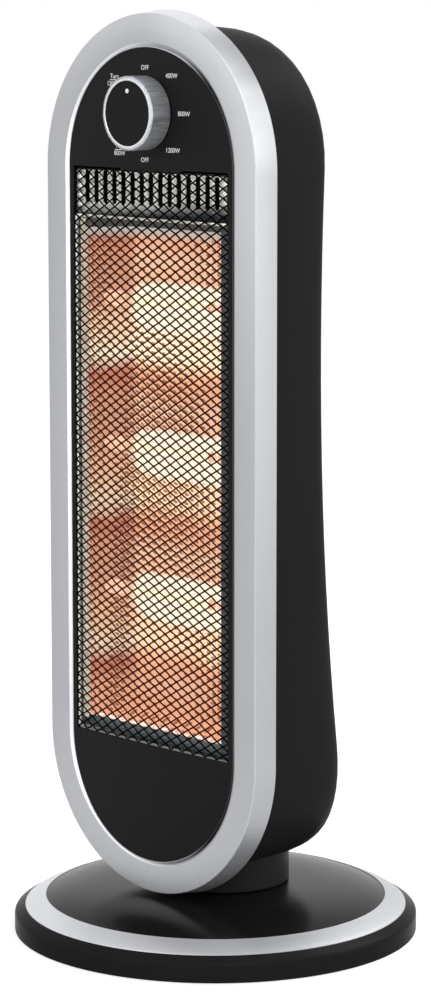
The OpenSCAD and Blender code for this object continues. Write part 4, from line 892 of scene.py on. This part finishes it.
class HEATER_OT_front(bpy.types.Operator):
    """Makes the silver oval ring and finishes the black front panel"""
    bl_idname = "heater.front"
    bl_label = "Front panel and ring"

    def execute(self, context):
        polish("front_cover", "panel_black", 24)
        edge_r, step_r, step_y = 0.7, 100.25, -59.35     # rounding of the outer edge, and the step in the back
        bead = [(0.0, 0.2), (0.0, -0.25), (0.1, -0.42), (0.3, -0.5), (0.5, -0.42), (0.62, -0.25)]
        face = [(RING_IN_R + u, PANEL_Y + v, 1.0) for u, v in bead]
        flat = [(RING_IN_R + 0.7, PANEL_Y - 0.02), (RING_IN_R + 3.2, FRONT_Y + 0.08), (RING_IN_R + 3.6, FRONT_Y),
                (RING_FRONT_R - edge_r, FRONT_Y)]
        for i in range(1, 7):
            a = math.radians(90 - 15 * i)
            flat.append((RING_FRONT_R - edge_r * (1 - math.cos(a)), FRONT_Y + edge_r * (1 - math.sin(a))))
        rear = [(RING_REAR_R - 0.1, RING_BACK_Y - 0.8), (RING_REAR_R, RING_BACK_Y - 0.5),
                (RING_REAR_R - 0.25, RING_BACK_Y), (RING_REAR_R - 1.9, RING_BACK_Y), (step_r, step_y),
                (RING_IN_R, step_y)]
        ring = sweep_oval(face + [(r, y, 0.0) for r, y in flat + rear])
        settle("front_ring_fine", ring, "silver_lacquer", "head", ["front_ring"], 25)
        near, far = RING_IN_R + 0.75, RING_IN_R + 3.15
        bevel = sweep_oval([(near, PANEL_Y - 0.10, 0.0), (far, FRONT_Y + 0.02, 0.0), (far, FRONT_Y + 0.20, 0.0),
                            (near, PANEL_Y + 0.08, 0.0)])
        settle("ring_bevel", bevel, "bevel_silver", "head")
        return {"FINISHED"}


class HEATER_OT_guard(bpy.types.Operator):
    """Weaves the black wire mesh over the window"""
    bl_idname = "heater.guard"
    bl_label = "Mesh guard"

    def execute(self, context):
        columns, rows, w, h = mesh_cell()
        wire = sizes().wire / MM
        length, slope = math.hypot(w, h), math.degrees(math.atan2(h, w))
        depth, wave = wire * 0.6, wire * 0.3
        cross = joined((bar(length, wire, depth, wave), turned(slope, "Y")),
                       (bar(length, wire, depth, -wave), turned(-slope, "Y")))
        g = Growth("guard weave")
        wide = g.size("Width", (2 * MESH_HALF_W - w) * MM)
        tall = g.size("Height", (MESH_HIGH_Z - MESH_LOW_Z - h) * MM)
        across = g.size("Columns", columns, "Int")
        up = g.size("Rows", rows, "Int")
        bow = g.size("Bow", sizes().bow)
        grid = g.node("GeometryNodeMeshGrid", inputs={
            "Size X": wide, "Size Y": tall, "Vertices X": across, "Vertices Y": up})
        stood = g.moved(grid, (90, 0, 0), (0, PANEL_Y + 0.35, (MESH_LOW_Z + MESH_HIGH_Z) / 2))
        net = g.node("GeometryNodeInstanceOnPoints", inputs={"Points": stood, "Instance": g.seed()})
        real = g.node("GeometryNodeRealizeInstances", inputs={0: net})
        x, _, _ = g.axes(g.node("GeometryNodeInputPosition"))
        push = ((x / (MESH_HALF_W * MM)) ** 2.0 - 1.0) * bow
        offset = g.node("ShaderNodeCombineXYZ", inputs={1: push})
        bowed = g.node("GeometryNodeSetPosition", inputs={"Geometry": real, "Offset": offset})
        g.grow(bowed, "guard_black", cross, "guard_mesh", "head", "black_mesh", ["mesh_guard"])
        return {"FINISHED"}


class HEATER_OT_reflector(bpy.types.Operator):
    """Finishes the reflector, its frame and the slotted plate above it"""
    bl_idname = "heater.reflector"
    bl_label = "Reflector"

    def execute(self, context):
        polish("reflector", "hot_mirror", 20)
        polish("vent_plate", "heat_tinted", 20)
        lip_y, lip_half_w, lip_low_z, flange_y = -59.2, 74.3, 140.6, -58.05
        lip = rounded([(-0.5, lip_y - 0.5), (1.4, lip_y - 0.5), (1.4, lip_y + 0.5), (-0.5, lip_y + 0.5)], 0.4)
        lip = sweep_frame(lip, lip_half_w, lip_low_z, TROUGH_TOP_Z + 1.0)
        settle("frame_lip", lip, "lip_sheet", "head")
        flange = bmesh.new()
        for x in (-70.2, 70.2):
            slab(flange, (6.8, 0.3, 351.0), (x, flange_y, 317.0))
        slab(flange, (147.2, 0.3, 3.2), (0.0, flange_y, 142.2))
        settle("frame_flange", flange, "frame_sheet", "head")
        # painted shade: a black sheet behind the vent slots, for the shade seen through them
        shade_behind_slots = bmesh.new()
        slab(shade_behind_slots, (146.0, 0.2, 25.4), (0.0, -57.6, 512.2))
        settle("slot_painted_shade", shade_behind_slots, "guard_black", "head")
        return {"FINISHED"}


class HEATER_OT_lamps(bpy.types.Operator):
    """Makes the quartz lamps with their glowing coils and ceramic caps"""
    bl_idname = "heater.lamps"
    bl_label = "Lamps"

    def execute(self, context):
        polish("quartz_tubes", "lamp_glass")
        collars = bmesh.new()
        in_r, out_r, half_t = 5.1, 7.6, 0.15
        for side, lamp_z in ((side, z) for side in (-1, 1) for z in LAMP_Z):
            loops = []
            for r, forward in ((in_r, half_t), (out_r, half_t), (out_r, -half_t), (in_r, -half_t)):
                loops.append([])
                for c, s in circle(36):
                    y = LAMP_Y + r * c
                    x = side * (TROUGH_HALF_W + (TROUGH_BACK_Y - y) * WING_SLOPE)
                    loops[-1].append(collars.verts.new(mm(x, y - forward, lamp_z + r * s)))
            skin(collars, loops)
        settle("lamp_collars", collars, "hot_mirror", "head")
        polish("lamp_caps", "lamp_ceramic")

        # a coil's half length, the pitch of its discs, the end of its leads and the radius of its wire
        half, pitch, tip, wire_r = 62.0, 20.5, 76.0, 0.28
        g = Growth("lamp coils")
        turns = g.size("Turns", float(sizes().coil_turns))
        radius = g.size("Coil radius", sizes().coil_radius)
        count = g.size("Lamps", len(LAMP_Z), "Int")
        spiral = g.node("GeometryNodeCurveSpiral", inputs={
            "Resolution": 10, "Rotations": turns, "Start Radius": radius, "End Radius": radius,
            "Height": 2 * half * MM})
        round_wire = g.node("GeometryNodeCurvePrimitiveCircle", inputs={"Resolution": 5, "Radius": wire_r * MM})
        coil = g.node("GeometryNodeCurveToMesh", inputs={"Curve": spiral, "Profile Curve": round_wire})
        both = g.node("GeometryNodeJoinGeometry", inputs={0: g.moved(coil, (0, 90, 0), (-half, 0, 0))})
        g.feed(both.socket.node.inputs[0], g.seed())
        line = g.node("GeometryNodeMeshLine", inputs={
            "Count": count, "Start Location": mm(0, LAMP_Y, LAMP_Z[0]), "Offset": mm(0, 0, LAMP_PITCH)})
        rows = g.node("GeometryNodeInstanceOnPoints", inputs={"Points": line, "Instance": both})
        supports = []
        for i in range(-3, 4):
            disc = lathe([(1.6, -0.25), (3.7, -0.25), (3.9, 0.0), (3.7, 0.25), (1.6, 0.25)], 24)
            supports.append((disc, Matrix.Translation(mm(i * pitch, 0, 0)) @ turned(90, "Y")))
        for end in (-1, 1):
            lead = lathe([(0, half - 0.5), (0.5, half - 0.5), (0.5, tip), (0, tip)], 10, False)
            supports.append((lead, turned(90 * end, "Y")))
        g.grow(rows, "hot_coil", joined(*supports), "lamp_coils", "head", "filament", ["filaments"])
        return {"FINISHED"}


class HEATER_OT_knob(bpy.types.Operator):
    """Makes the control knob: a finely ridged silver skirt round a black face"""
    bl_idname = "heater.knob"
    bl_label = "Knob"

    def execute(self, context):
        low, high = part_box("knob_skirt")
        front, back = low.y / MM, high.y / MM
        outer = (high.x - low.x) / 2 / MM
        profile = [(21.35, front + 3.2), (21.35, front + 0.35), (21.5, front + 0.1), (21.8, front),
                   (22.6, front + 0.1), (23.7, front + 0.95), (outer - 0.3, front + 1.25), (outer - 0.3, back - 0.5),
                   (outer - 0.6, back), (outer - 2.2, back), (outer - 2.6, back - 0.4), (outer - 2.8, front + 5.0)]
        skirt = lathe(profile, 192)
        skirt.transform(Matrix.Translation(mm(0, 0, KNOB_Z)) @ turned(-90, "X"))
        settle("knob_skirt_fine", skirt, "turned_silver", "knob", ["knob_skirt"])

        ridges = sizes().ridges
        g = Growth("knob ridges")
        count = g.size("Ridges", ridges, "Int")
        radius = g.size("Radius", (outer - 0.31) * MM)          # just inside the skirt's wall
        ring = g.node("GeometryNodeMeshCircle", inputs={"Vertices": count, "Radius": radius})
        angle = g.node("GeometryNodeInputIndex") * math.tau / count
        crest = g.node("GeometryNodeInstanceOnPoints", inputs={
            "Points": ring, "Instance": g.seed(), "Rotation": g.node("ShaderNodeCombineXYZ", inputs={2: angle})})
        stood = g.moved(crest, (-90, 0, 0), (0, 0, KNOB_Z))
        ridge = bmesh.new()
        half = math.pi * outer / ridges * 0.62
        ends = []
        for y, lift in ((front + 0.45, -0.5), (front + 1.1, 0.0), (back - 0.9, 0.0), (back - 0.4, -0.3)):
            ends.append([ridge.verts.new(mm(u, v, y)) for u, v in ((-0.6, -half), (0.30 + lift, 0.0), (-0.6, half))])
        skin(ridge, ends, closed=False)
        ridge.faces.new(ends[0][::-1])
        ridge.faces.new(ends[-1])
        bmesh.ops.recalc_face_normals(ridge, faces=ridge.faces)
        g.grow(stood, "turned_silver", ridge, "knob_ridges", "knob", "silver_trim")

        polish("knob_face", "knob_black")
        polish("knob_pointer", "print_white")
        return {"FINISHED"}


class HEATER_OT_dial(bpy.types.Operator):
    """Prints the settings round the knob"""
    bl_idname = "heater.dial"
    bl_label = "Dial marks"

    def execute(self, context):
        em, proud, thick = 1.26, 0.04, 0.03      # the font's size for a letter's height of 1, and the ink
        ink = bmesh.new()
        for words, x, z in (
                ("OFF", -1.0, 29.6), ("400W", 24.5, 24.5), ("800W", 36.0, 0.0), ("1200W", 25.5, -24.0),
                ("OFF", -1.4, -31.0), ("800W", -26.6, -27.3), ("Turn", -31.5, 23.5), ("1200W", -32.6, 18.6),
                ("Turn", -26.6, -22.3)):
            curve = bpy.data.curves.new("mark", "FONT")
            curve.body = words
            curve.size = sizes().letter * em
            curve.align_x = curve.align_y = "CENTER"
            curve.extrude = thick * MM
            harvest(ink, placed("mark", curve), Matrix.Translation(mm(x, 0, KNOB_Z + z)) @ turned(90, "X"))
        for x, z in ((-31.5, 21.2), (-26.6, -24.8)):      # a line under each "Turn"
            slab(ink, (9.5, 2 * thick, 0.45), (x, 0.0, KNOB_Z + z))
        for vert in ink.verts:
            vert.co.y += (bow_y(vert.co.x / MM) - proud) * MM
        settle("dial_marks", ink, "print_white", "head")
        return {"FINISHED"}


class HEATER_OT_stage(bpy.types.Operator):
    """Lays the pale floor and sets the lights and the camera"""
    bl_idname = "heater.stage"
    bl_label = "Stage"

    def execute(self, context):
        scene = context.scene
        scene.view_settings.view_transform = "Standard"

        half = 12.0
        mesh = bpy.data.meshes.new("floor")
        mesh.from_pydata([(-half, -half, 0), (half, -half, 0), (half, half, 0), (-half, half, 0)], [], [(0, 1, 2, 3)])
        placed("floor", mesh)
        paint = Paint("floor", grey(0.72), Roughness=0.9, Specular_IOR_Level=0.1, Emission_Color=grey(1.0))
        to_camera = paint.node("ShaderNodeLightPath", output="Is Camera Ray")
        paint.fill(Emission_Strength=0.64 * to_camera + 0.28 * to_camera.also("Is Glossy Ray"))
        mesh.materials.append(paint.material)

        # the room is white where it is seen, mirrored or seen through, and lights the heater more softly
        world = bpy.data.worlds.new("studio")
        scene.world = world
        world.use_nodes = True
        room = Nodes(world.node_tree)
        seen = room.node("ShaderNodeLightPath", output="Is Camera Ray")
        seen = seen.at_least(seen.also("Is Glossy Ray")).at_least(seen.also("Is Transmission Ray"))
        back = world.node_tree.nodes["Background"]
        room.feed(back.inputs["Strength"], 0.48 + 0.52 * seen)
        room.feed(back.inputs["Color"], grey(1.0))

        middle = Vector((0.0, 0.0, 0.32))
        for name, place, size, power in (
                ("key", (2.2, -1.2, 2.2), 1.6, 26.0), ("fill", (-1.8, -2.2, 1.3), 1.8, 7.0),
                ("front", (0.0, -2.9, 0.5), 0.9, 12.0), ("side", (2.2, 1.9, 0.9), 1.4, 16.0),
                ("back", (0.5, 2.0, 2.4), 1.6, 30.0)):
            light = bpy.data.lights.new(name, "AREA")
            light.size, light.energy = size, power
            lamp = placed(name, light)
            lamp.location = place
            lamp.rotation_euler = (middle - Vector(place)).to_track_quat("-Z", "Y").to_euler()

        lens = bpy.data.cameras.new("camera")
        lens.sensor_width = 36.0
        lens.lens = LENS_MM
        lens.shift_x = LENS_SHIFT
        lens.clip_end = 60.0
        camera = placed("camera", lens)
        right, ahead = Vector(CAMERA_RIGHT).normalized(), Vector(CAMERA_AHEAD).normalized()
        above = right.cross(ahead).normalized()
        turn = Matrix((right, above, -ahead)).transposed().to_4x4()
        camera.matrix_world = Matrix.Translation(CAMERA_AT) @ turn
        scene.camera = camera
        return {"FINISHED"}


STEPS = (HEATER_OT_stage, HEATER_OT_base, HEATER_OT_inside, HEATER_OT_housing, HEATER_OT_front, HEATER_OT_guard,
         HEATER_OT_reflector, HEATER_OT_lamps, HEATER_OT_knob, HEATER_OT_dial)


class HEATER_PT_panel(bpy.types.Panel):
    """Lists the steps and settings of the heater"""
    bl_idname = "HEATER_PT_panel"
    bl_label = "Halogen heater"
    bl_space_type = "VIEW_3D"
    bl_region_type = "UI"
    bl_category = "Heater"

    def draw(self, context):
        for settings in (context.scene.heater_sizes, context.scene.heater_colours):
            for name in settings.__annotations__:
                self.layout.prop(settings, name)
        for step in STEPS:
            self.layout.operator(step.bl_idname)


CLASSES = (HeaterSizes, HeaterColours, *STEPS, HEATER_PT_panel)


def register():
    for cls in CLASSES:
        bpy.utils.register_class(cls)
    bpy.types.Scene.heater_sizes = bpy.props.PointerProperty(type=HeaterSizes)
    bpy.types.Scene.heater_colours = bpy.props.PointerProperty(type=HeaterColours)


def unregister():
    del bpy.types.Scene.heater_colours
    del bpy.types.Scene.heater_sizes
    for cls in reversed(CLASSES):
        bpy.utils.unregister_class(cls)


def main():
    register()
    for step in STEPS:
        group, name = step.bl_idname.split(".")
        getattr(getattr(bpy.ops, group), name)()


if __name__ == "__main__":
    main()
